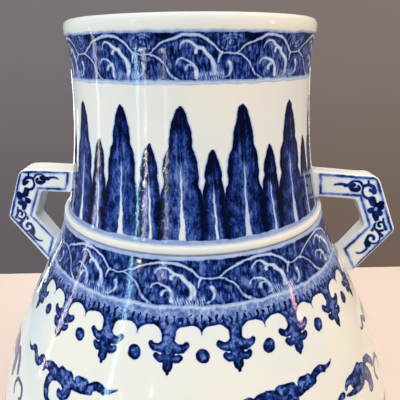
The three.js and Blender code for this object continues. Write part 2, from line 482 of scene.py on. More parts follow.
def strap_edge(distances, roundings, sway):
    """One long edge of the strap, from inside the neck's wall to inside the shoulder's, elbows rounded.
    Along the upper bar it sways a little, as a strap does that is bent by hand."""
    sides = strap_sides(distances)
    first, second = crossing(sides[0], sides[1]), crossing(sides[1], sides[2])
    start = wall_crossing(NECK_CURVE, first, -sides[0][2], HANDLE_BURIED)
    finish = wall_crossing(UPPER_CURVE, second, sides[2][2], HANDLE_BURIED)
    points = [start]
    bar = (first - start).length
    for step in range(1, 9):
        along = bar * step / 10
        points.append(start + sides[0][2] * along + Vector((0, sway * math.sin(math.tau * along / bar))))
    elbows = ((first, sides[0], sides[1], roundings[0]), (second, sides[1], sides[2], roundings[1]))
    for corner, before, after, rounding in elbows:
        a, c = corner - before[2] * rounding, corner + after[2] * rounding
        for step in range(7):
            t = step / 6
            points.append(a * (1 - t) ** 2 + corner * 2 * t * (1 - t) + c * t * t)
    points.append(finish)
    return points


def handle_mesh(sizes, strap):
    """A handle on the right: its outline seen from the front, extruded to depth, softened and flared."""
    outer = strap_edge(strap.outer, (6.5, 3.2), strap.rise)
    inner = strap_edge(strap.inner, (3.0, 2.6), -strap.rise / 2)
    bm = bmesh.new()
    depth = HANDLE_HALF_DEPTH
    outline = [bm.verts.new((p.x * MM, -depth * MM, p.y * MM)) for p in outer + inner[::-1]]
    face = bm.faces.new(outline)
    made = bmesh.ops.extrude_face_region(bm, geom=[face])
    moved = [item for item in made["geom"] if isinstance(item, bmesh.types.BMVert)]
    bmesh.ops.translate(bm, verts=moved, vec=(0, 2 * depth * MM, 0))
    bmesh.ops.recalc_face_normals(bm, faces=bm.faces)
    rims = [edge for edge in bm.edges if abs(edge.verts[0].co.y - edge.verts[1].co.y) < 1e-6]
    bmesh.ops.bevel(
        bm, geom=rims, offset=sizes.soft, offset_type="OFFSET", affect="EDGES", segments=5, profile=0.5,
        material=-1, clamp_overlap=True,
    )
    lean_strap(bm, strap.lean)
    flare_ends(bm, sizes)
    return bm


def lean_strap(bm, lean):
    """Makes the strap shallower on its way down, and tips the upper bar a little about its length."""
    slope = (HANDLE_HALF_DEPTH - HANDLE_LANDING_HALF_DEPTH) / (HANDLE_TOP_LEVEL - HANDLE_LANDING_LEVEL)
    tall = HANDLE_UPPER_ELBOW.y - HANDLE_LOWER_ELBOW.y
    for vert in bm.verts:
        level = vert.co.z / MM
        vert.co.y *= 1 - (HANDLE_TOP_LEVEL - level) * slope / HANDLE_HALF_DEPTH
        share = max(0, min(1, (level - HANDLE_LOWER_ELBOW.y) / tall))
        vert.co.z -= vert.co.y * lean * share


def flare_ends(bm, sizes):
    """Widens the strap over its last few millimetres before each wall, where slip was smoothed round it."""
    for curve, ends in ((NECK_CURVE, NECK_SEAT), (UPPER_CURVE, SHOULDER_SEAT)):
        for step in SEAT_CUTS:
            low = Vector((curve.radius(ends[0]) + step, ends[0]))
            high = Vector((curve.radius(ends[1]) + step, ends[1]))
            normal = Vector((high.y - low.y, 0, low.x - high.x)).normalized()
            near = [f for f in bm.faces if abs(off_wall(curve, f.calc_center_median())) < 40]
            geom = list(bm.verts) + list(bm.edges) + near
            bmesh.ops.bisect_plane(bm, geom=geom, plane_co=(low.x * MM, 0, low.y * MM), plane_no=normal,
                                   dist=1e-6)
    depth = HANDLE_HALF_DEPTH * MM
    for vert in bm.verts:
        for curve, line in ((NECK_CURVE, HANDLE_UPPER_ELBOW.y), (UPPER_CURVE, None)):
            off = off_wall(curve, vert.co)
            if off > FLARE_REACH or (line is None) == (vert.co.z / MM > HANDLE_SPLIT_LEVEL):
                continue
            share = (1 - max(off, 0) / FLARE_REACH) ** 2 * sizes.flare
            vert.co.y += math.copysign(share, vert.co.y) * min(1, abs(vert.co.y) / depth) * FLARE_DEEPENING
            vert.co.z += share * handle_side(vert.co, line)


def off_wall(curve, place):
    """How far outside a wall's curve a point lies, in millimetres."""
    low, high = curve.points[0].y, curve.points[3].y
    level = min(max(place.z / MM, low), high)
    return math.hypot(place.x, place.y) / MM - curve.radius(level)


def handle_side(place, line):
    """Which way a point of the strap widens: up at its upper edge and down at its lower one, from 1 to -1."""
    half = UPPER_HALF_FACE
    if line is None:
        start, end = HANDLE_LOWER_ELBOW, handle_centre()[3]
        line = end.y + (start.y - end.y) * (place.x / MM - end.x) / (start.x - end.x)
        half = LOWER_HALF_FACE
    return max(-1, min(1, (place.z / MM - line) / half))


class Flow:
    """A value on its way through a node tree. Arithmetic on it adds the nodes that work it out."""

    def __init__(self, sketch, socket):
        self.sketch = sketch
        self.socket = socket

    def math(self, operation, *values):
        return self.sketch.math(operation, self, *values)

    def __add__(self, other):
        return self.math("ADD", other)

    def __mul__(self, other):
        return self.math("MULTIPLY", other)

    def __sub__(self, other):
        return self.math("SUBTRACT", other)

    def __rsub__(self, other):
        return self.sketch.math("SUBTRACT", other, self)

    def __truediv__(self, other):
        return self.math("DIVIDE", other)

    def __abs__(self):
        return self.math("ABSOLUTE")

    def spread(self, low, high, to_low=0.0, to_high=1.0, kind="SMOOTHSTEP"):
        """Carries the value from one range to another and holds it there beyond both ends."""
        return self.sketch.through("MapRange", (self, low, high, to_low, to_high), interpolation_type=kind)


def most(first, second):
    return first.math("MAXIMUM", second)


def least(first, second):
    return first.math("MINIMUM", second)


def between(share, first, second):
    """Straight from one value to another, by a share."""
    return share.spread(0.0, 1.0, first, second, "LINEAR")


class Sketch:
    """Adds nodes to a tree, in the order in which they are worked out."""

    def __init__(self, tree):
        self.tree = tree
        self.count = 0

    def node(self, kind, **settings):
        node = self.tree.nodes.new("ShaderNode" + kind)
        node.location = (180 * (self.count // 8), -170 * (self.count % 8))
        self.count += 1
        for name, value in settings.items():
            setattr(node, name, value)
        return node

    def feed(self, socket, value):
        """Links a socket to what feeds it, or sets it where that is a plain value or an opaque colour."""
        if isinstance(value, Flow):
            self.tree.links.new(value.socket, socket)
        elif socket.type == "RGBA":
            socket.default_value = (*value, 1)
        else:
            socket.default_value = value

    def through(self, kind, values, out=0, **settings):
        """What comes out of a new node that the values go into."""
        node = self.node(kind, **settings)
        for socket, value in zip(node.inputs, values):
            self.feed(socket, value)
        return Flow(self, node.outputs[out])

    def math(self, operation, *values, clamp=False):
        return self.through("Math", values, operation=operation, use_clamp=clamp)

    def vector(self, operation, *values):
        out = "Value" if operation in ("DOT_PRODUCT", "LENGTH", "DISTANCE") else "Vector"
        return self.through("VectorMath", values, out, operation=operation)

    def named(self, kind, out, inputs, **settings):
        """What comes out of a new node whose inputs are given by name."""
        node = self.node(kind, **settings)
        for name, value in inputs.items():
            self.feed(node.inputs[name], value)
        return None if out is None else Flow(self, node.outputs[out])

    def scaled(self, value, factor):
        return self.named("VectorMath", "Vector", {"Vector": value, "Scale": factor}, operation="SCALE")

    def join(self, x, y, z=0.0):
        return self.through("CombineXYZ", (x, y, z))

    def split(self, value):
        node = self.node("SeparateXYZ")
        self.feed(node.inputs[0], value)
        return [Flow(self, socket) for socket in node.outputs]

    def noise(self, place, scale, detail=2.0, rough=0.5, out="Fac"):
        inputs = {"Vector": place, "Scale": scale, "Detail": detail, "Roughness": rough}
        return self.named("TexNoise", out, inputs)

    def mixed(self, share, first, second):
        """A colour between two colours, by a share."""
        return self.named("Mix", "Result", {"Factor": share, "A": first, "B": second}, data_type="RGBA")

    def profile(self, value, points):
        """A value read off a smooth curve through points, each from 0 to 1 both ways."""
        node = self.node("FloatCurve")
        curve = node.mapping.curves[0]
        curve.points[0].location = points[0]
        curve.points[1].location = points[-1]
        for point in points[1:-1]:
            curve.points.new(*point)
        node.mapping.update()
        self.feed(node.inputs["Value"], value)
        return Flow(self, node.outputs[0])

    def group(self, name, **inputs):
        """What comes out of a node group, by name."""
        node = self.node("Group")
        node.node_tree = bpy.data.node_groups[name]
        for socket, value in inputs.items():
            self.feed(node.inputs[socket.replace("_", " ")], value)
        return {socket.name: Flow(self, socket) for socket in node.outputs}

    def give(self, **outputs):
        """Feeds the outputs of the node group that is being made."""
        end = self.tree.nodes.new("NodeGroupOutput")
        for name, value in outputs.items():
            self.feed(end.inputs[name.replace("_", " ")], value)


def new_group(name, vectors, values, outputs):
    """An empty node group with named inputs and outputs. Returns its sketch and its inputs."""
    tree = bpy.data.node_groups.new(name, "ShaderNodeTree")
    for kind, names in (("Vector", vectors), ("Float", values)):
        for socket in names:
            tree.interface.new_socket(name=socket, in_out="INPUT", socket_type="NodeSocket" + kind)
    for socket, kind in outputs.items():
        tree.interface.new_socket(name=socket, in_out="OUTPUT", socket_type="NodeSocket" + kind)
    sketch = Sketch(tree)
    start = tree.nodes.new("NodeGroupInput")
    return sketch, {socket.name: Flow(sketch, socket) for socket in start.outputs}


def straight_brush_group():
    """How far a point is from the edge of a straight stroke that swells or tapers; less than 0 inside it"""
    sketch, given = new_group("Straight stroke", ("Point", "From", "To"), ("Width from", "Width to"),
                              {"Distance": "Float"})
    reach = sketch.vector("SUBTRACT", given["Point"], given["From"])
    span = sketch.vector("SUBTRACT", given["To"], given["From"])
    along = sketch.vector("DOT_PRODUCT", reach, span)
    length = sketch.vector("DOT_PRODUCT", span, span)
    share = sketch.math("DIVIDE", along, length, clamp=True)
    off = sketch.vector("DISTANCE", reach, sketch.scaled(span, share))
    sketch.give(Distance=off - between(share, given["Width from"], given["Width to"]) * 0.5)


def curved_brush_group():
    """How far a point is from the edge of a stroke bent along part of a circle; less than 0 inside it"""
    sketch, given = new_group("Curved stroke", ("Point", "Centre", "Turn"),
                              ("Half sweep", "Radius", "Width from", "Width to"), {"Distance": "Float"})
    place = {"Vector": given["Point"], "Location": given["Centre"], "Rotation": given["Turn"]}
    x, y, _ = sketch.split(sketch.named("Mapping", 0, place, vector_type="TEXTURE"))
    sweep = given["Half sweep"]
    back = sweep * -1.0
    kept = least(most(y.math("ARCTAN2", x), back), sweep)
    ring = sketch.join(kept.math("COSINE"), kept.math("SINE"))
    nearest = sketch.scaled(ring, given["Radius"])
    off = sketch.vector("DISTANCE", sketch.join(x, y), nearest)
    width = kept.spread(back, sweep, given["Width from"], given["Width to"], "LINEAR")
    sketch.give(Distance=off - width * 0.5)


def circle_through(begin, through, end):
    """Centre and radius of the circle through three points, or None where they lie nearly straight."""
    (ax, ay), (bx, by), (cx, cy) = begin, through, end
    turn = 2 * (ax * (by - cy) + bx * (cy - ay) + cx * (ay - by))
    if abs(turn) < 1e-6:
        return None
    a, b, c = ax * ax + ay * ay, bx * bx + by * by, cx * cx + cy * cy
    x = (a * (by - cy) + b * (cy - ay) + c * (ay - by)) / turn
    y = (a * (cx - bx) + b * (ax - cx) + c * (bx - ax)) / turn
    radius = math.hypot(ax - x, ay - y)
    straightest = 30 * math.hypot(cx - ax, cy - ay)
    return None if radius > straightest else (x, y, radius)


def brush(point, points, widths):
    """One stroke through two or three points, with the widths it starts and ends with."""
    circle = circle_through(*points) if len(points) == 3 else None
    if circle is None:
        return point.sketch.group("Straight stroke", Point=point, From=(*points[0], 0), To=(*points[-1], 0),
                                  Width_from=widths[0], Width_to=widths[1])["Distance"]
    x, y, radius = circle
    turns = [math.atan2(p[1] - y, p[0] - x) for p in points]
    sweep = (turns[2] - turns[0]) % math.tau
    leftwards = (turns[1] - turns[0]) % math.tau < sweep
    if not leftwards:
        sweep -= math.tau
    first, last = widths if leftwards else widths[::-1]
    turn = (0, 0, turns[0] + sweep / 2)
    return point.sketch.group("Curved stroke", Point=point, Centre=(x, y, 0), Turn=turn, Radius=radius,
                              Half_sweep=abs(sweep) / 2, Width_from=first, Width_to=last)["Distance"]


def brushed(point, strokes, scale=1.0):
    """How far a point is from the nearest of several strokes, each given as its points and its two widths."""
    return functools.reduce(least, [
        brush(point, [(x * scale, y * scale) for x, y in points], [width * scale for width in widths])
        for points, widths in strokes
    ])




TILE = 25.0

# Strokes of one breaking wave, in shares of the band's height, from under its crest. Each has two or three
# points that it passes and the widths it starts and ends with.
WAVE_CREST = [
    (((-0.97, 0.59), (-0.58, 0.83), (-0.12, 0.955)), (0.035, 0.07)),
    (((-0.12, 0.955), (0.28, 0.885), (0.61, 0.60)), (0.075, 0.05)),
    (((0.65, 0.58), (0.61, 0.50), (0.585, 0.38)), (0.07, 0.03)),
]
WAVE_LINES = [
    (((0.63, 0.575), (0.82, 0.565), (1.0, 0.58)), (0.03, 0.04)),
    (((1.0, 0.58), (1.14, 0.645)), (0.04, 0.04)),
    (((1.0, 0.58), (1.14, 0.53)), (0.04, 0.04)),
    (((-0.93, 0.565), (-0.72, 0.43), (-0.58, 0.24)), (0.035, 0.045)),
    (((-0.58, 0.24), (-0.47, 0.09), (-0.32, -0.02)), (0.045, 0.07)),
]
WAVE_SCROLLS = [
    (((-0.28, 0.68), (-0.2, 0.80), (0.0, 0.79)), (0.025, 0.06)),
    (((0.0, 0.79), (0.1, 0.70), (0.24, 0.65)), (0.065, 0.08)),
    (((0.24, 0.65), (0.31, 0.55), (0.4, 0.47)), (0.095, 0.085)),
    (((0.4, 0.47), (0.46, 0.36), (0.465, 0.14)), (0.095, 0.12)),
    (((0.17, 0.66), (0.09, 0.65), (0.06, 0.58)), (0.04, 0.07)),
    (((-0.36, 0.35), (-0.3, 0.445), (-0.15, 0.435)), (0.025, 0.04)),
    (((-0.15, 0.435), (0.02, 0.33), (0.07, 0.08)), (0.045, 0.11)),
    (((0.0, 0.31), (-0.09, 0.3), (-0.14, 0.22)), (0.04, 0.07)),
    (((0.85, 0.36), (0.885, 0.19), (0.7, 0.05)), (0.075, 0.03)),
]
WAVE_BLOB = ((-0.62, 1.0), (0.24, 0.14))
WAVE_DISC = ((0.88, 0.79), (0.29, 0.17))
FOAM_ACROSS = (0.08, 0.78)
FOAM_TOP = 0.185
FOAM_STEP = 0.052
RIM_WAVE_TURN = 0.5
SHOULDER_WAVE_TURN = -8.5


def wall_place_group():
    """Where a point lies on the vase: its turn from the front, level and reach, strayed as a hand strays"""
    sketch, given = new_group("Place on the wall", ("Object",), ("Wobble",), {
        "Turn": "Float", "Level": "Float", "Reach": "Float", "Spot": "Vector", "Straight level": "Float",
    })
    spot = sketch.scaled(given["Object"], 1 / MM)
    stray = sketch.noise(spot, 0.11, 3.0, 0.55, "Color")
    away = sketch.vector("SUBTRACT", stray, (0.5, 0.5, 0.5))
    across, up, _ = sketch.split(sketch.scaled(away, given["Wobble"] * (4.0 / MM)))
    x, y, z = sketch.split(spot)
    reach = sketch.vector("LENGTH", sketch.join(x, y))
    turn = y.math("ARCTAN2", x) - FRONT_TURN + across / reach
    sketch.give(Turn=turn, Level=z + up, Reach=reach, Spot=spot, Straight_level=z)


def across_tile(turn, count, centre, start=-0.5):
    """The turn within one of count equal shares of the way round. centre is the middle of one, in degrees."""
    share = math.tau / count
    return (turn - math.radians(centre)).math("WRAP", (start + 1) * share, start * share)


def oval(point, centre, radii, scale=1.0):
    """How far a point is outside an oval, as a share of the oval's own size; less than 0 inside it."""
    sketch = point.sketch
    moved = sketch.vector("SUBTRACT", point, (centre[0] * scale, centre[1] * scale, 0))
    even = sketch.vector("DIVIDE", moved, (radii[0] * scale, radii[1] * scale, 1))
    return sketch.vector("LENGTH", even) - 1.0


def brushwork_group():
    """The unevenness of a ground of cobalt laid on with a loaded brush, from 0 for thin to 1 for thick"""
    sketch, given = new_group("Brushwork", ("Spot",), ("Upright",), {"Strength": "Float"})
    x, y, z = sketch.split(given["Spot"])
    fine = sketch.noise(sketch.join(x, y, z * given["Upright"]), 0.75, 2.0, 0.6)
    sketch.give(Strength=fine.spread(0.36, 0.66))


def wave_group():
    """One breaking wave, left white in a ground of cobalt: how strong the cobalt is at a point of the band"""
    sketch, given = new_group("Breaking wave", ("Point", "Spot"), ("Rings",), {"Strength": "Float"})
    point = given["Point"]
    streaks = sketch.group("Brushwork", Spot=given["Spot"], Upright=0.3)["Strength"]
    ground = between(streaks, 0.52, 0.95)
    blob = oval(point, *WAVE_BLOB, TILE)
    ground += blob.spread(0.25, -0.35, 0.0, 0.42)
    disc = oval(point, *WAVE_DISC, TILE)
    ring = most(disc, -0.8).math("PINGPONG", 0.2)
    ground -= disc.spread(0.12, 0.02) * (ring.spread(0.13, 0.03, 0.0, 0.2) * given["Rings"])
    crest = brushed(point, WAVE_CREST + WAVE_LINES, TILE)
    ground += crest.spread(1.9, 0.4, 0.0, 0.22)
    scrolls = brushed(point, WAVE_SCROLLS, TILE)
    mask = least(crest, scrolls).spread(0.6, -0.5)
    left_white = scrolls.spread(0.4, -1.3, 0.12, 0.06)
    x, y, _ = sketch.split(point)
    left_white += streaks * y.spread(0.5 * TILE, 0.05 * TILE, 0.05, 0.35)
    comb = ((y * 0.25 + x) * (math.tau / (FOAM_STEP * TILE))).math("SINE").spread(-0.35, 0.7, 0.25, 0.85)
    left = x.spread((FOAM_ACROSS[0] - 0.02) * TILE, (FOAM_ACROSS[0] + 0.03) * TILE)
    right = x.spread((FOAM_ACROSS[1] + 0.02) * TILE, (FOAM_ACROSS[1] - 0.05) * TILE)
    top = y.spread((FOAM_TOP + 0.03) * TILE, (FOAM_TOP - 0.05) * TILE)
    mask = most(mask, left * right * (top * comb))
    sketch.give(Strength=between(mask, ground, left_white))


def wave_band(sketch, place, count, centre, low, high, edge_line, grain, rings):
    """A band of waves round the vase between two levels, with a thin line beyond each of its edges. A smaller
    grain makes the dabs of its ground larger, and rings sets how plain the ripples between two crests are."""
    x = across_tile(place["Turn"], count, centre, -0.45) * (2 * TILE * count / math.tau)
    y = place["Level"].spread(low, high, 0.0, TILE, "LINEAR")
    wave = sketch.group("Breaking wave", Point=sketch.join(x, y), Spot=sketch.scaled(place["Spot"], grain),
                        Rings=rings)
    off = abs(place["Level"] - (low + high) / 2)
    half = (high - low) / 2
    haze = off.spread(half + 2.6, half + 0.2, 0.0, edge_line)
    return between(off.spread(half + 0.45, half - 0.25), haze, wave["Strength"])


def line_round(level, at_level, half_width, strength, soft=0.5):
    """A thin line drawn round the vase at a level."""
    return abs(level - at_level).spread(half_width + soft, max(0.0, half_width - soft / 2), 0.0, strength)


LEAF_TALL = 80.5
LEAF_SHORT = 55.0
LEAF_SHORT_GAIN = 3.6
LEAF_WIDEST = 15.5
LEAF_CROWDING = 0.027
TALL_LEAF_TURN = -4.5
SHORT_LEAF_TURN = 7.5
TALL_LEAF = [
    (0.0, 0.93), (0.1, 0.90), (0.19, 0.855), (0.3, 0.84), (0.37, 0.765), (0.41, 0.685), (0.44, 0.652),
    (0.49, 0.675), (0.555, 0.663), (0.615, 0.605), (0.665, 0.51), (0.695, 0.437), (0.74, 0.42),
    (0.8, 0.383), (0.865, 0.307), (0.93, 0.21), (0.965, 0.145), (0.985, 0.05), (1.0, 0.0),
]
SHORT_LEAF = [
    (0.0, 0.54), (0.18, 0.478), (0.36, 0.446), (0.53, 0.42), (0.61, 0.36), (0.66, 0.33), (0.71, 0.335),
    (0.77, 0.30), (0.84, 0.25), (0.91, 0.18), (0.96, 0.1), (0.985, 0.045), (1.0, 0.0),
]
TALL_MIDRIB = [
    (0.0, 0.145), (0.07, 0.115), (0.16, 0.075), (0.25, 0.045), (0.34, 0.03), (0.5, 0.02), (0.58, 0.0),
    (1.0, 0.0),
]
SHORT_MIDRIB = [(0.0, 0.058), (0.18, 0.042), (0.36, 0.032), (0.5, 0.024), (0.6, 0.0), (1.0, 0.0)]


def leaf(sketch, spot, x, level, tall, outline, midrib, lean):
    """One plantain leaf: how deep inside its edge a point is, and how strong the cobalt is there."""
    rise = level - LEAF_LOW
    share = rise / tall
    side = abs(x)
    half = sketch.profile(most(share, 0.0), outline) * LEAF_WIDEST
    half -= share.spread(0.99, 1.01, 0.0, 3.0)
    deep = half - side
    brushed_up = sketch.group("Brushwork", Spot=spot, Upright=0.13)["Strength"]
    loaded = sketch.group("Brushwork", Spot=spot, Upright=0.6)["Strength"]
    vein = side * -1.25 + rise + loaded * 3.0
    hatch = (vein * (math.tau / 4.3)).math("SINE").spread(-0.6, 0.9)
    strength = brushed_up * 0.22 + 0.58 + hatch * loaded * 0.16
    strength += (loaded * 1.5 + deep).spread(5.2, 1.8, 0.0, 0.36)
    strength += share.spread(0.84, 0.98, 0.0, 0.25)
    middle = abs(share * -lean + x + lean / 2)
    strength += middle.spread(2.2, 0.7, 0.0, 0.3) * share.spread(0.5, 0.62)
    strength -= middle.spread(5.0, 1.5, 0.0, 0.12) * share.spread(0.85, 0.55)
    rib = middle - sketch.profile(most(share, 0.0), midrib) * LEAF_WIDEST
    strength *= rib.spread(-0.45, 0.5, 0.07, 1.0)
    return deep, strength


def leaf_strength(sketch, place, pattern):
    """The collar of plantain leaves: a tall leaf and a short one, by turns, on a pale line. They were drawn
    a little closer together at the back than in front."""
    turn, level, reach, spot = place["Turn"], place["Level"], place["Reach"], place["Spot"]
    drawn = turn - turn.math("SINE") * LEAF_CROWDING
    tall_x = across_tile(drawn, pattern.leaves, TALL_LEAF_TURN) * reach
    deep, strength = leaf(sketch, spot, tall_x, level, LEAF_TALL, TALL_LEAF, TALL_MIDRIB, -2.0)
    short_x = across_tile(drawn, pattern.leaves, SHORT_LEAF_TURN) * reach
    tall = drawn.spread(-0.25, 0.1, LEAF_SHORT + LEAF_SHORT_GAIN, LEAF_SHORT)
    low_deep, low_strength = leaf(sketch, spot, short_x, level, tall, SHORT_LEAF, SHORT_MIDRIB, -3.0)
    strength = between(low_deep.math("GREATER_THAN", deep), strength, low_strength)
    strength += turn.spread(-0.1, 0.5, 0.0, 0.08)
    deepest = most(deep, low_deep)
    strength = between(deepest.spread(-0.3, 0.4), deepest.spread(-1.8, 0.0, 0.0, 0.16), strength)
    strength *= level.spread(LEAF_LOW - 0.6, LEAF_LOW + 0.5)
    return most(strength, line_round(place["Straight level"], LEAF_LOW - 1.0, 1.2, 0.26))



# The pendants hang from a band at the shoulder. Strokes are in millimetres from the pendant's middle line,
# and from the level of its tip.
PENDANT_TURN = -7.54
PENDANT_TIP = 299.0
PENDANT_TILE = 39.0
PENDANT_STROKES = [
    (((0.0, 26.0), (0.0, 8.0)), (8.6, 6.6)),
    (((0.0, 8.6), (0.0, 3.4)), (6.6, 5.6)),
    (((0.0, 3.8), (0.0, 0.2)), (5.2, 1.8)),
    (((2.0, 14.4), (6.3, 13.0), (9.9, 15.0)), (6.2, 3.2)),
    (((1.6, 9.4), (4.4, 7.6), (6.6, 8.6)), (5.6, 3.4)),
]
PENDANT_LOBE = ((11.7, 19.8), (7.7, 4.8))
PENDANT_DOT = (19.5, 9.3)
PENDANT_DOT_RADIUS = 3.7
TICK_PACE = math.tau / 4.4


def pendant_strength(sketch, place, pattern):
    """Trefoil pendants with a dot between each two, hanging from a pale band under the shoulder's waves."""
    pace = PENDANT_TILE * pattern.pendants / math.tau
    x = across_tile(place["Turn"], pattern.pendants, PENDANT_TURN) * pace
    y = place["Level"] - PENDANT_TIP
    point = sketch.join(abs(x), y)
    lobe = oval(point, *PENDANT_LOBE) * 5.2
    cap = most(PENDANT_LOBE[0][1] - 0.4 - y, lobe * -1.0)
    dot = sketch.vector("DISTANCE", point, (*PENDANT_DOT, 0)) - PENDANT_DOT_RADIUS
    shape = least(least(brushed(point, PENDANT_STROKES), cap), dot)
    loaded = sketch.group("Brushwork", Spot=place["Spot"], Upright=0.5)["Strength"]
    dabbed = sketch.noise(place["Spot"], 0.3)
    strength = shape.spread(-2.4, -0.4, 0.54, 0.86) + loaded * 0.18 + dabbed.spread(0.4, 0.62, -0.14, 0.12)
    strength += y.spread(8.5, 3.0, 0.0, 0.2)
    strength *= y.spread(25.0, 30.0, 1.0, 0.6)
    tick = (dabbed * 9.0 + x * TICK_PACE).math("SINE").spread(0.0, 0.6)
    near = (dabbed * 6.0 + y).spread(33.0, 32.2) * y.spread(23.0, 25.0)
    strength = most(strength, tick * near * 0.94)
    strength = most(strength * shape.spread(0.4, -0.3), shape.spread(1.6, 0.2, 0.0, 0.07))
    return strength * y.spread(32.2, 34.4, 1.0, 0.36)


# A ribbon cloud, with a wavering tail at each side, and the rolled cloud that lies lower, half a tile on.
# Strokes are in millimetres from the middle of each, and from the ribbon's level.
CLOUD_TILE = 154.0
CLOUD_RISE = 66.0
CLOUD_ROOM = 18.0
CLOUD_TOP = 281.2
CLOUD_TURN = -39.2
ROLLED_FROM = (20.0, -8.5)
ROLLED_APART = 200.0
RIBBON_CLOUD = [
    (((-49.0, 0.8), (-45.0, -0.6), (-40.5, 0.6)), (0.8, 3.4)),
    (((-40.5, 0.6), (-36.5, 1.6), (-32.5, -0.8)), (3.6, 4.8)),
    (((-32.5, -0.8), (-28.5, -2.6), (-24.0, -0.2)), (4.8, 5.4)),
    (((-24.0, 0.0), (-21.0, 1.8), (-18.9, -4.8)), (5.2, 1.2)),
    (((-17.5, -0.6), (-10.0, 1.6), (-3.5, 0.2)), (5.0, 7.5)),
    (((1.5, 1.0), (9.5, 0.8)), (9.0, 9.0)),
    (((-3.5, -0.6), (-9.0, -5.5), (-8.0, -13.0)), (7.0, 5.0)),
    (((-8.0, -13.0), (-5.0, -17.0), (0.5, -17.0)), (4.6, 2.6)),
    (((9.0, -2.0), (10.0, -5.5), (4.0, -8.5)), (9.0, 4.5)),
    (((12.0, -0.8), (28.5, 1.0)), (6.0, 4.8)),
    (((18.5, 2.2), (24.0, 2.6)), (7.6, 7.0)),
    (((28.5, 2.6), (33.5, 4.4), (39.5, 3.6)), (4.6, 4.0)),
    (((39.5, 4.2), (44.0, 4.0), (49.0, 6.0)), (3.0, 0.8)),
]
ROLLED_CLOUD = [
    (((-21.5, -15.6), (-17.0, -13.2), (-12.0, -15.5)), (3.2, 6.5)),
    (((-11.0, -16.0), (-2.0, -15.5)), (9.0, 12.0)),
    (((-2.0, -17.0), (6.5, -19.5), (10.5, -32.0)), (12.0, 8.0)),
    (((-22.5, -19.8), (-13.0, -22.0), (-1.0, -21.5)), (1.2, 8.5)),
    (((12.0, -14.5), (18.0, -16.5), (23.5, -24.0)), (5.0, 5.5)),
    (((26.5, -38.0), (26.5, -28.5), (33.5, -26.0)), (2.2, 3.0)),
    (((33.5, -26.0), (40.5, -29.5), (38.0, -36.0)), (3.0, 2.4)),
    (((-26.5, -17.8), (-32.0, -20.0), (-31.0, -26.5)), (4.2, 2.2)),
]


def cloud_group():
    """The two clouds in full: how strong the cobalt is at a point, in millimetres from the ribbon's middle"""
    sketch, given = new_group("Clouds", ("Point", "Spot"), (), {"Strength": "Float"})
    rolled = [([(x + ROLLED_APART, y) for x, y in points], widths) for points, widths in ROLLED_CLOUD]
    shape = brushed(given["Point"], RIBBON_CLOUD + rolled)
    loaded = sketch.group("Brushwork", Spot=given["Spot"], Upright=0.6)["Strength"]
    dabs = sketch.noise(given["Spot"], 0.3).spread(0.36, 0.6, -0.26, 0.12)
    strength = shape.spread(-2.2, -0.5, 0.6, 0.86) + loaded * 0.18 + dabs
    sketch.give(Strength=most(strength * shape.spread(0.45, -0.3), shape.spread(1.6, 0.2, 0.0, 0.07)))


def cloud_strength(sketch, place, pattern):
    """Rows of ribbon clouds over the body, with rolled clouds hung between them. Each row is set half a cloud
    on from the row above."""
    down = CLOUD_TOP + CLOUD_ROOM - place["Level"]
    row = (down / CLOUD_RISE).math("FLOOR")
    y = CLOUD_ROOM - (down - row * CLOUD_RISE)
    share = math.tau / pattern.clouds
    row_turn = row * (share / 2) + place["Turn"]
    x = across_tile(row_turn, pattern.clouds, CLOUD_TURN) * (CLOUD_TILE / share)
    hung = abs(x).math("GREATER_THAN", ROLLED_FROM[0]) * y.math("LESS_THAN", ROLLED_FROM[1])
    x = between(hung, x, x.math("WRAP", CLOUD_TILE, 0.0) + (ROLLED_APART - CLOUD_TILE / 2))
    return sketch.group("Clouds", Point=sketch.join(x, y), Spot=place["Spot"])["Strength"]


PETAL_SHAPE = [
    (0.0, 0.90), (0.25, 0.93), (0.5, 0.93), (0.66, 0.88), (0.78, 0.74), (0.87, 0.5), (0.94, 0.22), (1.0, 0.0),
]
PETAL_SCROLLS = [
    (((0.0, 10.0), (9.5, 14.0), (8.0, 22.0)), (1.2, 2.2)),
    (((8.0, 22.0), (3.6, 25.0), (3.2, 19.0)), (2.2, 1.4)),
    (((0.0, 26.0), (0.0, 38.0)), (2.6, 1.0)),
    (((0.0, 26.0), (6.0, 32.0), (2.0, 38.0)), (1.4, 1.0)),
]


def petal_strength(sketch, place, pattern):
    """Upright petal panels round the foot of the body, each with an outline, an inner line and a scroll."""
    level, reach = place["Level"], place["Reach"]
    side = abs(across_tile(place["Turn"], pattern.petals, 0.0) * reach)
    y = level - PETAL_LOW
    share = y / (PETAL_HIGH - PETAL_LOW)
    deep = sketch.profile(share, PETAL_SHAPE) * (reach * (math.pi / pattern.petals)) - side
    loaded = sketch.group("Brushwork", Spot=place["Spot"], Upright=0.5)["Strength"]
    strength = abs(deep - 1.0).spread(1.4, 0.5, 0.0, 0.86)
    strength = most(strength, abs(deep - 4.2).spread(0.9, 0.2, 0.0, 0.7))
    strength = most(strength, brushed(sketch.join(side, y), PETAL_SCROLLS).spread(0.5, -0.3, 0.0, 0.85))
    strength = most(strength, deep.spread(0.2, -0.6, 0.0, 0.42) * share.spread(1.04, 0.98))
    strength *= between(loaded, 0.82, 1.08)
    strength *= y.spread(-0.6, 0.3)
    for at_level in (PETAL_HIGH + 4.0, PETAL_HIGH + 7.0, PETAL_LOW - 3.4, PETAL_LOW - 6.0):
        strength = most(strength, line_round(level, at_level, 0.45, 0.6))
    return strength


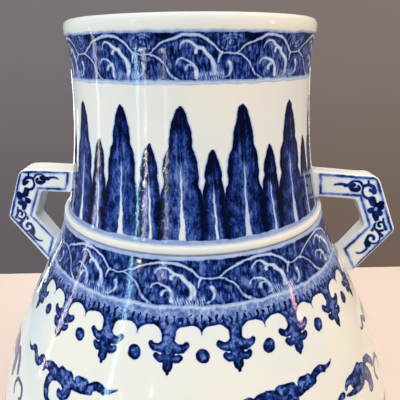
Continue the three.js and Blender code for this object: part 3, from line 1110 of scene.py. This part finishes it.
# The painting of a handle's two faces: distance out from the axis and level, in millimetres.
HANDLE_SCROLLS = [
    (((111.0, 381.4), (115.5, 382.4), (119.5, 381.2)), (0.9, 2.2)),
    (((119.0, 381.2), (122.0, 381.6), (125.0, 381.6)), (2.2, 3.4)),
    (((123.4, 383.4), (123.8, 378.6), (127.4, 377.9)), (2.2, 3.2)),
    (((127.4, 378.0), (129.4, 379.2), (128.4, 380.8)), (3.0, 1.6)),
    (((123.2, 383.8), (128.4, 384.6), (132.2, 379.8)), (1.3, 1.2)),
    (((135.6, 385.4), (135.8, 382.2)), (0.8, 2.0)),
    (((132.6, 380.6), (137.2, 381.8), (140.8, 376.4)), (2.0, 3.0)),
    (((140.8, 377.0), (138.6, 377.4), (137.4, 378.4)), (2.6, 1.8)),
    (((132.4, 379.6), (132.8, 374.2), (137.0, 371.2)), (1.3, 1.6)),
    (((139.6, 370.8), (141.0, 367.6)), (4.8, 5.0)),
    (((147.0, 367.2), (146.6, 364.4)), (4.6, 5.2)),
    (((139.8, 361.6), (141.2, 361.8)), (4.8, 4.8)),
    (((147.0, 359.4), (145.8, 359.6)), (4.2, 4.8)),
    (((143.8, 358.4), (144.8, 354.6)), (5.4, 3.2)),
    (((143.6, 366.2), (143.6, 360.0)), (4.0, 4.4)),
    (((149.9, 355.4), (150.9, 350.8), (152.9, 346.4)), (1.1, 2.0)),
    (((150.4, 351.4), (147.4, 351.8), (148.0, 348.4)), (2.0, 1.7)),
    (((144.6, 351.6), (145.0, 346.0), (150.6, 345.4)), (1.0, 1.8)),
    (((145.6, 346.0), (147.6, 343.4), (150.4, 340.8)), (1.2, 2.6)),
    (((142.8, 347.2), (142.8, 345.2)), (0.8, 1.8)),
    (((149.0, 339.6), (147.4, 334.6), (141.6, 334.8)), (1.0, 1.2)),
    (((139.8, 338.4), (142.8, 340.6), (144.4, 337.6)), (2.0, 1.9)),
    (((139.6, 338.0), (139.4, 335.0), (140.6, 332.0)), (2.2, 4.2)),
    (((140.2, 331.4), (138.0, 326.4), (132.6, 324.9)), (2.2, 0.9)),
]
BLOSSOM_HEART = ((143.3, 362.9), (1.3, 1.5))
FACE_LEAN_OUT = 0.029
FACE_LEAN_UP = 0.034


def handle_painting(strap):
    """The scroll and blossom on a handle's two flat faces, in a thin frame line."""
    def strength(sketch, spot):
        x, _, z = sketch.split(spot)
        stray = sketch.vector("SUBTRACT", sketch.noise(spot, 0.3, out="Color"), (0.5, 0.5, 0.5))
        across, _, up = sketch.split(sketch.scaled(stray, 1.6))
        x, z = abs(x) + across, z + up
        line = abs(frame_distance(sketch.join(x, z), strap))
        down = HANDLE_UPPER_ELBOW.y - z
        drawn_at = sketch.join(down * -FACE_LEAN_OUT + x, down * FACE_LEAN_UP + z)
        scroll = brushed(drawn_at, HANDLE_SCROLLS)
        heart = oval(drawn_at, *BLOSSOM_HEART)
        loaded = sketch.group("Brushwork", Spot=spot, Upright=1.0)["Strength"]
        wet = sketch.noise(spot, 0.07).spread(0.3, 0.7, 0.36, 0.86)
        drawn = loaded * 0.14 + scroll.spread(-0.9, 0.1, 0.84, 0.92)
        drawn *= scroll.spread(0.65, -0.3)
        drawn *= heart.spread(-0.4, 0.5, 0.3, 1.0)
        haze = scroll.spread(2.2, 0.3, 0.0, 0.1) + line.spread(3.6, 0.8) * (wet * 0.22)
        return most(most(line.spread(1.7, 0.3) * wet, drawn), haze)
    return strength


def beyond(point, line):
    """How far a point is to the left of a line's direction, on the plane of the strap's face."""
    start, _, direction = line
    moved = point.sketch.vector("SUBTRACT", point, (start.x, start.y, 0))
    return point.sketch.vector("DOT_PRODUCT", moved, (-direction.y, direction.x, 0))


def furthest(point, lines):
    """How far a point is beyond the line of several that it lies furthest beyond."""
    return functools.reduce(most, [beyond(point, line) for line in lines])


def frame_distance(point, strap):
    """How far a point is outside the painted frame; less than 0 inside it."""
    outside, inside = (furthest(point, strap_sides(sides)) for sides in (strap.frame_out, strap.frame_in))
    off = most(outside, inside * -1.0)
    for start, end in strap.frame_ends:
        start, end = Vector(start), Vector(end)
        off = most(off, beyond(point, (start, end, (end - start).normalized())))
    return off




# The handles' glaze colour is painted lighter than the wall's: painted light that stands in for the brighter
# light falling on the handles.
HANDLE_PAINTED_LIGHT = 1.16
FULLEST = 1.2


def cobalt_group(glaze):
    """What the eye sees through the glaze where cobalt of some strength lies under it"""
    sketch, given = new_group("Cobalt under glaze", ("Spot",), ("Strength", "Smoothest"), {
        "Colour": "Color", "Roughness": "Float", "Relief": "Float", "Mirror": "Float",
    })
    spot = given["Spot"]
    strength = given["Strength"] * sketch.noise(spot, 0.17).spread(0.3, 0.7, 0.84, 1.16)
    heaps = sketch.noise(spot, 1.15).spread(0.54, 0.7, 0.0, 0.26) * strength.spread(0.4, 0.75)
    strength += heaps
    ramp = sketch.node("ValToRGB")
    sketch.feed(ramp.inputs["Fac"], strength / FULLEST)
    stops = [
        (0.0, glaze.white), (0.12, glaze.breath), (0.36, glaze.wash), (0.64, glaze.middle),
        (0.84, glaze.strong), (1.04, glaze.heaped),
    ]
    elements = ramp.color_ramp.elements
    elements[1].position = stops[-1][0] / FULLEST
    for place, _ in stops[1:-1]:
        elements.new(place / FULLEST)
    for element, (_, colour) in zip(elements, stops):
        element.color = (*colour, 1)
    plain = sketch.mixed(sketch.noise(spot, 0.013, 3.0).spread(0.35, 0.7), glaze.white, glaze.pooled)
    rough = sketch.noise(spot, 0.05, 3.0).spread(0.45, 0.75) * 0.05 + given["Smoothest"] + heaps * 0.05
    sketch.give(
        Colour=sketch.mixed(strength.spread(0.0, 0.1), plain, Flow(sketch, ramp.outputs["Color"])),
        Roughness=rough,
        Relief=sketch.noise(spot, 0.45, 1.0) * strength.spread(0.3, 0.8),
        Mirror=strength.spread(0.1, 0.4, 0.15, 0.5),
    )


def skin_group():
    """The height of the glazed skin in millimetres: faint turning marks from the wheel, the slow waves of
    thick glaze, and its grain over heavy cobalt"""
    sketch, given = new_group("Glazed skin", ("Spot",), ("Relief",), {"Height": "Float"})
    x, y, z = sketch.split(given["Spot"])
    marks = sketch.noise(sketch.join(x * 0.02, y * 0.02, z), 0.09)
    sketch.give(Height=marks * 0.03 + sketch.noise(given["Spot"], 0.09) * 0.16 + given["Relief"] * 0.035)


def new_material(name):
    """An empty material. Returns it, the sketch of its nodes, and where a point lies on the object."""
    material = bpy.data.materials.new(name)
    material.use_nodes = True
    material.node_tree.nodes.clear()
    sketch = Sketch(material.node_tree)
    return material, sketch, Flow(sketch, sketch.node("TexCoord").outputs["Object"])


def coat(sketch, **inputs):
    """Gives a material its surface, with the inputs of its shader by name."""
    named = {name.replace("_", " "): value for name, value in inputs.items()}
    surface = sketch.named("BsdfPrincipled", "BSDF", named)
    sketch.named("OutputMaterial", None, {"Surface": surface})


def glaze_material(name, painting=None, on_handle=False):
    """A glazed material. painting gives the strength of the cobalt from where a point lies on the vase."""
    scene = bpy.context.scene
    material, sketch, where = new_material(name)
    wobble = 0.0 if on_handle else scene.vase_pattern.wobble
    place = sketch.group("Place on the wall", Object=where, Wobble=wobble)
    strength = 0.0
    if painting:
        strength = painting(sketch, place["Spot"] if on_handle else place)
    seen = sketch.group("Cobalt under glaze", Strength=strength, Spot=place["Spot"],
                        Smoothest=scene.vase_glaze.gloss)
    skin = sketch.group("Glazed skin", Spot=place["Spot"], Relief=seen["Relief"])
    normal = sketch.named("Bump", "Normal", {"Distance": MM, "Height": skin["Height"]})
    # On the handles the glaze colour is scaled up: painted light, brightening them beyond what the lamps
    # give.
    colour = sketch.scaled(seen["Colour"], HANDLE_PAINTED_LIGHT) if on_handle else seen["Colour"]
    coat(sketch, Base_Color=colour, Roughness=seen["Roughness"], Normal=normal,
         Specular_IOR_Level=seen["Mirror"], IOR=1.5)
    return material


def clay_material():
    """The bare rim of the foot: fine fired clay, a little stained where the glaze stops."""
    clay = bpy.context.scene.vase_glaze.bare_clay
    material, sketch, where = new_material("Bare clay")
    spot = sketch.scaled(where, 1 / MM)
    grain = sketch.noise(spot, 0.9, 4.0, 0.65)
    stain = sketch.noise(spot, 0.06).spread(0.4, 0.7) * 0.5 + grain.spread(0.4, 0.7, 0.0, 0.35)
    tone = sketch.mixed(stain, clay, [c * 0.62 for c in clay])
    normal = sketch.named("Bump", "Normal", {"Strength": 0.5, "Distance": 0.15 * MM, "Height": grain})
    coat(sketch, Base_Color=tone, Roughness=grain.spread(0.3, 0.7, 0.7, 0.85), Normal=normal)
    return material


def material_once(name, make):
    """A material by name, made the first time that a piece asks for it."""
    return bpy.data.materials.get(name) or make()


def plain_glaze():
    return material_once("Plain glaze", lambda: glaze_material("Plain glaze"))


def handle_glaze():
    return material_once("Handle glaze", lambda: glaze_material("Handle glaze", on_handle=True))


def bare_clay():
    return material_once("Bare clay", clay_material)


def painted(name, painting):
    """A zone of painting, drawn by a function of the sketch, the place on the vase and the counts."""
    pattern = bpy.context.scene.vase_pattern
    return glaze_material(name, lambda sketch, place: painting(sketch, place, pattern))


def clouds_glaze():
    return material_once("Clouds", lambda: painted("Clouds", cloud_strength))


def rim_painting(sketch, place, pattern):
    """The waves under the lip, with a thin line below them."""
    band = wave_band(sketch, place, pattern.waves, RIM_WAVE_TURN, RIM_BAND_LOW, RIM_BAND_HIGH, 0.3, 1.0, 1.0)
    return most(band, line_round(place["Level"], RIM_LINE_LEVEL, 0.35, 0.2))


def shoulder_painting(sketch, place, pattern):
    """The waves on the shoulder, up to the thin line at the foot of the fillet."""
    band = wave_band(sketch, place, pattern.waves, SHOULDER_WAVE_TURN, SHOULDER_BAND_LOW, SHOULDER_BAND_HIGH,
                     0.28, 0.6, 0.0)
    return most(band, line_round(place["Straight level"], SHOULDER_LEVEL - 0.6, 0.7, 0.22))


def fillet_painting(sketch, place, pattern):
    """A wash of cobalt in the two grooves beside the fillet's bead."""
    level = place["Straight level"]
    low = line_round(level, SHOULDER_LEVEL + 0.3, 0.6, 0.24, 0.8)
    return most(low, line_round(level, NECK_LEVEL - 0.2, 0.5, 0.25, 0.8))


def foot_painting(sketch, place, pattern):
    """Waves round the foot, between two lines."""
    band = wave_band(sketch, place, pattern.waves + 3, 0.0, FOOT_BAND_LOW, FOOT_BAND_HIGH, 0.2, 0.6, 0.0)
    return most(band, line_round(place["Level"], FOOT_LEVEL - 0.8, 0.4, 0.6))


class VASE_OT_glazes(bpy.types.Operator):
    """Mixes the glazes: the shader node groups that every painted zone uses"""

    bl_idname = "vase.glazes"
    bl_label = "Glazes"

    def execute(self, context):
        straight_brush_group()
        curved_brush_group()
        wall_place_group()
        brushwork_group()
        wave_group()
        cloud_group()
        cobalt_group(context.scene.vase_glaze)
        skin_group()
        return {"FINISHED"}


class VASE_OT_foot(bpy.types.Operator):
    """Turns the splayed foot, with its bare flat rim"""

    bl_idname = "vase.foot"
    bl_label = "Foot ring"

    def execute(self, context):
        plain, bare, waves = 0, 1, 2
        outer_flat = FOOT_RADIUS - FOOT_EDGE
        inner_flat = outer_flat - FOOT_RIM_FLAT
        rings = [
            Ring(FOOT_JOINT_RADIUS - FOOT_WALL, FOOT_LEVEL, plain),
            Ring(inner_flat - SOFT_EDGE, SOFT_EDGE, bare),
            Ring(inner_flat, 0, bare),
            Ring(outer_flat, 0, bare),
        ]
        rings += round_rings((outer_flat, 0), (FOOT_RADIUS, 0), (FOOT_RADIUS, FOOT_EDGE), bare, 6)[:-1]
        rings[-1].zone = plain
        rings += wall_rings(FOOT_CURVE, [(FOOT_EDGE, waves)], FOOT_LEVEL)
        rings.append(ring_on(FOOT_CURVE, FOOT_LEVEL, plain))
        materials = [plain_glaze(), bare_clay(), painted("Foot waves", foot_painting)]
        turned_piece("Foot_ring", rings, True, materials, "painted_glaze", "foot_ring")
        return {"FINISHED"}


class VASE_OT_lower_body(bpy.types.Operator):
    """Turns the lower half of the body, with its floor"""

    bl_idname = "vase.lower_body"
    bl_label = "Lower body"

    def execute(self, context):
        plain, petals, clouds = 0, 1, 2
        rings = [Ring(0, FOOT_LEVEL, plain), Ring(FOOT_JOINT_RADIUS / 2, FOOT_LEVEL, plain)]
        rings += wall_rings(LOWER_CURVE, [(FOOT_LEVEL, petals), (CLOUD_ZONE_LOW, clouds)], BELLY_LEVEL)
        rings.append(ring_on(LOWER_CURVE, BELLY_LEVEL, plain))
        rings += inner_rings(LOWER_CURVE, BODY_WALL, FLOOR_LEVEL + INNER_CORNER, BELLY_LEVEL, plain)
        wall_end = (rings[-1].radius, rings[-1].level)
        reach = LOWER_CURVE.radius(FLOOR_LEVEL) - BODY_WALL
        rings += round_rings(wall_end, (reach, FLOOR_LEVEL), (reach - INNER_CORNER, FLOOR_LEVEL), plain)
        rings += [Ring(reach / 2, FLOOR_LEVEL, plain), Ring(0, FLOOR_LEVEL, plain)]
        materials = [plain_glaze(), painted("Petal panels", petal_strength), clouds_glaze()]
        turned_piece("Lower_body", rings, False, materials, "painted_glaze", "lower_body")
        return {"FINISHED"}


class VASE_OT_upper_body(bpy.types.Operator):
    """Turns the upper half of the body, up to the ledge that the neck stands on"""

    bl_idname = "vase.upper_body"
    bl_label = "Upper body"

    def execute(self, context):
        plain, clouds, pendants, waves = 0, 1, 2, 3
        edge = SHOULDER_LEVEL - SOFT_EDGE
        zones = [(BELLY_LEVEL, clouds), (PENDANT_ZONE_LOW, pendants), (SHOULDER_ZONE_LOW, waves)]
        rings = wall_rings(UPPER_CURVE, zones, edge)
        rings.append(ring_on(UPPER_CURVE, edge, waves))
        rings += round_rings((rings[-1].radius, edge), (SHOULDER_RADIUS, SHOULDER_LEVEL),
                             (SHOULDER_RADIUS - SOFT_EDGE, SHOULDER_LEVEL), waves, 4)
        rings[-1].zone = plain
        rings.append(Ring(NECK_BASE_RADIUS - NECK_WALL, SHOULDER_LEVEL, plain))
        rings += inner_rings(UPPER_CURVE, BODY_WALL, BELLY_LEVEL, SHOULDER_LEVEL - JOINT_BLEND, plain)
        materials = [
            plain_glaze(), clouds_glaze(), painted("Pendants", pendant_strength),
            painted("Shoulder waves", shoulder_painting),
        ]
        turned_piece("Upper_body", rings, True, materials, "painted_glaze", "upper_body")
        return {"FINISHED"}


class VASE_OT_neck(bpy.types.Operator):
    """Turns the neck, up to its rolled lip"""

    bl_idname = "vase.neck"
    bl_label = "Neck"

    def execute(self, context):
        plain, leaves, waves = 0, 1, 2
        rings = [Ring(NECK_BASE_RADIUS, SHOULDER_LEVEL, plain)]
        zones = [(NECK_LEVEL, leaves), (LEAF_ZONE_HIGH, plain), (RIM_ZONE_LOW, waves)]
        rings += wall_rings(NECK_CURVE, zones, LIP_START)
        rings += wall_rings(LIP_CURVE, [(LIP_START, waves), (RIM_ZONE_HIGH, plain)], CROWN_LEVEL)
        rings.append(ring_on(LIP_CURVE, CROWN_LEVEL, plain))
        crown = ((LIP_RADIUS + MOUTH_RADIUS - NECK_WALL) / 2, LIP_LEVEL)
        inner = (MOUTH_RADIUS - NECK_WALL, CROWN_LEVEL)
        rings += round_rings((LIP_RADIUS, CROWN_LEVEL), (LIP_RADIUS, LIP_LEVEL), crown, plain)
        rings += round_rings(crown, (inner[0], LIP_LEVEL), inner, plain)
        rings += inner_rings(NECK_CURVE, NECK_WALL, NECK_LEVEL, MOUTH_LEVEL, plain)
        rings.append(Ring(NECK_BASE_RADIUS - NECK_WALL, SHOULDER_LEVEL, plain))
        leaf_glaze = painted("Plantain leaves", leaf_strength)
        materials = [plain_glaze(), leaf_glaze, painted("Rim waves", rim_painting)]
        turned_piece("Neck", rings, True, materials, "painted_glaze", "neck")
        return {"FINISHED"}


class VASE_OT_fillet(bpy.types.Operator):
    """Turns the raised fillet round the foot of the neck"""

    bl_idname = "vase.fillet"
    bl_label = "Neck fillet"

    def execute(self, context):
        seat = NECK_BASE_RADIUS + SLIP_GAP
        crest = NECK_BASE_RADIUS + FILLET_PROUD
        middle = (SHOULDER_LEVEL + NECK_LEVEL) / 2
        low, high = middle - FILLET_BEAD / 2, middle + FILLET_BEAD / 2
        groove = crest - 1.3
        rings = [Ring(seat, SHOULDER_LEVEL, 0), Ring(crest - 0.5, SHOULDER_LEVEL, 0), Ring(groove, low, 0)]
        rings += round_rings((groove, low), (crest, low), (crest, middle), 0)
        rings += round_rings((crest, middle), (crest, high), (groove - 1.0, high), 0)
        rings += round_rings((groove - 1.0, high), (seat + 0.6, high), (seat, NECK_LEVEL), 0, 4)
        materials = [painted("Fillet glaze", fillet_painting)]
        turned_piece("Neck_fillet", rings, True, materials, "white_glaze", "neck_fillet")
        return {"FINISHED"}


class VASE_OT_handles(bpy.types.Operator):
    """Cuts the two strap handles, softens their edges and paints their faces"""

    bl_idname = "vase.handles"
    bl_label = "Handles"

    def execute(self, context):
        for side, turn in (("right", 0.0), ("left", math.pi)):
            strap = STRAPS[side]
            scroll = glaze_material(f"Handle scroll {side}", handle_painting(strap), on_handle=True)
            bm = handle_mesh(context.scene.vase_handles, strap)
            bm.normal_update()
            for face in bm.faces:
                face.material_index = 1 if abs(face.normal.y) > 0.9 else 0
            bmesh.ops.rotate(bm, verts=bm.verts, cent=(0, 0, 0), matrix=Matrix.Rotation(turn, 3, "Z"))
            materials = [handle_glaze(), scroll]
            piece = finish_piece(bm, "Handle_" + side, materials, "painted_glaze", "handle_" + side)
            piece.modifiers.new("Weighted normals", "WEIGHTED_NORMAL").keep_sharp = True
        return {"FINISHED"}


CAMERA_LENS = 38.685
CAMERA_BACK = 337.8
CAMERA_LEVEL = 480.2
CAMERA_PITCH = 19.222
CAMERA_YAW = 0.9325
CAMERA_ROLL = -0.5925
TABLE_BACK = 546.0
AIM_LEVEL = 0.32
WINDOW_REACH = 2.0
BACK_REACH = 1.3


def add_camera():
    """The camera at the photograph's own distance, height and angle."""
    turned = FRONT_TURN + math.pi / 2
    data = bpy.data.cameras.new("Camera")
    data.lens = CAMERA_LENS
    data.sensor_width = 36
    data.clip_start = 0.01
    camera = bpy.data.objects.new("Camera", data)
    bpy.context.scene.collection.objects.link(camera)
    back = CAMERA_BACK * MM
    camera.location = (back * math.sin(turned), -back * math.cos(turned), CAMERA_LEVEL * MM)
    aim = Matrix.Rotation(turned - math.radians(CAMERA_YAW), 4, "Z")
    tilt = Matrix.Rotation(math.radians(90 - CAMERA_PITCH), 4, "X")
    roll = Matrix.Rotation(math.radians(CAMERA_ROLL), 4, "Z")
    camera.rotation_euler = (aim @ tilt @ roll).to_euler()
    bpy.context.scene.camera = camera


def add_lamp(name, turn, reach, level, width, tall, power, colour, mirrored=False):
    """A soft rectangular lamp, turned towards the vase from a direction measured from the front. The glaze
    mirrors only the narrow window lamps."""
    data = bpy.data.lights.new(name, "AREA")
    data.shape = "RECTANGLE"
    data.size, data.size_y = width, tall
    data.energy = power
    data.color = colour
    lamp = bpy.data.objects.new(name, data)
    bpy.context.scene.collection.objects.link(lamp)
    angle = FRONT_TURN + math.radians(turn)
    lamp.location = (reach * math.cos(angle), reach * math.sin(angle), level)
    lamp.visible_glossy = mirrored
    lamp.visible_camera = False
    aim = Vector((0, 0, level if mirrored else AIM_LEVEL)) - lamp.location
    lamp.rotation_euler = aim.to_track_quat("-Z", "Y").to_euler()


PLAIN_PANE = (1.0, 1.0, 1.0)
BLUE_PANE = (0.36, 0.74, 1.0)
COOL_PANE = (0.9, 0.96, 1.0)
PINK_PANE = (1.0, 0.9, 0.93)
CORAL_PANE = (1.0, 0.5, 0.42)

# The far window panes that the glaze mirrors: turn from the front, level, width, height, radiance and colour.
WINDOW_PANES = (
    ("Left, tall", -47.6, 0.65, 0.08, 1.0, 22, BLUE_PANE),
    ("Left, narrow", -40.8, 0.38, 0.035, 0.22, 20, PLAIN_PANE),
    ("Left, low", -42.0, 0.275, 0.09, 0.08, 30, PLAIN_PANE),
    ("Middle, narrow", -22.5, 0.375, 0.04, 0.2, 14, COOL_PANE),
    ("Middle, low", -24.5, 0.275, 0.09, 0.08, 26, PLAIN_PANE),
    ("Middle, high", -24.0, 0.6, 0.05, 0.16, 20, PLAIN_PANE),
    ("Side", -92.5, 0.25, 0.06, 0.74, 13, PINK_PANE),
    ("Far left", -135.0, -0.05, 0.045, 0.6, 8, PLAIN_PANE),
    ("Right", 71.0, 0.79, 0.11, 0.36, 20, CORAL_PANE),
    ("Right, high", 62.0, 0.97, 0.16, 0.1, 18, CORAL_PANE),
)


def stage_material(name, colour, roughness):
    """A plain matt surface for the stage, with a faint unevenness of tone."""
    material, sketch, where = new_material(name)
    cloud = sketch.noise(where, 3.0, 3.0).spread(0.3, 0.7)
    coat(sketch, Base_Color=sketch.mixed(cloud, colour, [c * 0.96 for c in colour]), Roughness=roughness)
    return material


def set_world(light, low, high, dim):
    """Soft even light from all round. The camera and reflections see a plain backdrop instead, which goes
    from a low pair of colours to a high pair, each from left to right, and is dim on the camera's side."""
    world = bpy.data.worlds.new("Studio")
    bpy.context.scene.world = world
    world.use_nodes = True
    world.node_tree.nodes.clear()
    sketch = Sketch(world.node_tree)
    path = sketch.node("LightPath").outputs
    seen = functools.reduce(most, [
        Flow(sketch, path[f"Is {kind} Ray"]) for kind in ("Camera", "Glossy", "Transmission")
    ])
    view = Flow(sketch, sketch.node("TexCoord").outputs["Generated"])
    right = FRONT_TURN + math.pi / 2
    across = sketch.vector("DOT_PRODUCT", view, (math.cos(right), math.sin(right), 0)).spread(-0.45, 0.45)
    rise = sketch.split(view)[2].spread(-0.45, 0.1)
    backdrop = sketch.mixed(rise, sketch.mixed(across, *low), sketch.mixed(across, *high))
    towards = sketch.vector("DOT_PRODUCT", view, (math.cos(FRONT_TURN), math.sin(FRONT_TURN), 0))
    backdrop = sketch.mixed(towards.spread(-0.1, 0.4), backdrop, dim)
    soft, plain = (sketch.named("Background", 0, {"Color": colour}) for colour in (light, backdrop))
    sketch.named("OutputWorld", None, {"Surface": sketch.through("MixShader", (seen, soft, plain))})


class VASE_OT_stage(bpy.types.Operator):
    """Sets the pale table, the soft lamps, the backdrop and the camera"""

    bl_idname = "vase.stage"
    bl_label = "Stage"

    def execute(self, context):
        bm = bmesh.new()
        bmesh.ops.create_grid(bm, x_segments=1, y_segments=1, size=1)
        bmesh.ops.scale(bm, vec=(0.9, TABLE_BACK * MM, 1), verts=bm.verts)
        turned = Matrix.Rotation(FRONT_TURN + math.pi / 2, 3, "Z")
        bmesh.ops.rotate(bm, verts=bm.verts, cent=(0, 0, 0), matrix=turned)
        mesh = bpy.data.meshes.new("Table")
        bm.to_mesh(mesh)
        bm.free()
        table = bpy.data.objects.new("Table", mesh)
        context.scene.collection.objects.link(table)
        mesh.materials.append(stage_material("Pale table", colour_of(232, 211, 197), 0.6))
        low = (colour_of(98, 93, 97), colour_of(113, 96, 84))
        high = (colour_of(121, 115, 119), colour_of(130, 117, 111))
        set_world((0.35, 0.355, 0.365), low, high, colour_of(74, 70, 73))
        add_lamp("Top", 10, 0.45, 1.75, 1.4, 1.4, 12, (1.0, 0.98, 0.955))
        add_lamp("Front", -20, 1.6, 0.95, 1.0, 1.0, 6.7, (1.0, 0.985, 0.96))
        add_lamp("Warm side", 78, 1.3, 1.0, 1.0, 1.0, 8.5, (1.0, 0.80, 0.54))
        add_lamp("Cool side", -85, 1.4, 0.9, 1.0, 1.0, 5, (0.82, 0.93, 1.0))
        add_lamp("Back top", 180, 1.2, 1.9, 1.0, 1.0, 17, (1.0, 0.98, 0.95))
        for name, turn, level, width, tall, radiance, colour in WINDOW_PANES:
            power = radiance * math.pi * width * tall
            add_lamp("Window: " + name, turn, WINDOW_REACH, level, width, tall, power, colour, mirrored=True)
        add_lamp("Back left", -152, BACK_REACH, 0.2, 0.08, 0.44, 0.7, COOL_PANE, mirrored=True)
        add_lamp("Back right", 152, BACK_REACH, 0.2, 0.06, 0.44, 0.25, PINK_PANE, mirrored=True)
        add_camera()
        context.scene.view_settings.view_transform = "Standard"
        return {"FINISHED"}


class VASE_PT_panel(bpy.types.Panel):
    """Lists the pieces of the vase and the sizes and colours that they use"""

    bl_idname = "VASE_PT_panel"
    bl_label = "Hu vase"
    bl_space_type = "VIEW_3D"
    bl_region_type = "UI"
    bl_category = "Vase"

    def draw(self, context):
        layout = self.layout
        scene = context.scene
        for settings in (scene.vase_glaze, scene.vase_pattern, scene.vase_handles):
            box = layout.box()
            for name in settings.__annotations__:
                box.prop(settings, name)
        for operator in OPERATORS:
            layout.operator(operator.bl_idname)


SETTINGS = (VaseGlaze, VasePattern, VaseHandleSizes)
OPERATORS = (
    VASE_OT_glazes, VASE_OT_foot, VASE_OT_lower_body, VASE_OT_upper_body, VASE_OT_neck, VASE_OT_fillet,
    VASE_OT_handles, VASE_OT_stage,
)


def register():
    for kind in (*SETTINGS, *OPERATORS, VASE_PT_panel):
        bpy.utils.register_class(kind)
    bpy.types.Scene.vase_glaze = PointerProperty(type=VaseGlaze)
    bpy.types.Scene.vase_pattern = PointerProperty(type=VasePattern)
    bpy.types.Scene.vase_handles = PointerProperty(type=VaseHandleSizes)


def unregister():
    del bpy.types.Scene.vase_handles
    del bpy.types.Scene.vase_pattern
    del bpy.types.Scene.vase_glaze
    for kind in (VASE_PT_panel, *OPERATORS[::-1], *SETTINGS[::-1]):
        bpy.utils.unregister_class(kind)


def main():
    register()
    bpy.ops.vase.glazes()
    bpy.ops.vase.foot()
    bpy.ops.vase.lower_body()
    bpy.ops.vase.upper_body()
    bpy.ops.vase.neck()
    bpy.ops.vase.fillet()
    bpy.ops.vase.handles()
    bpy.ops.vase.stage()


if __name__ == "__main__":
    main()
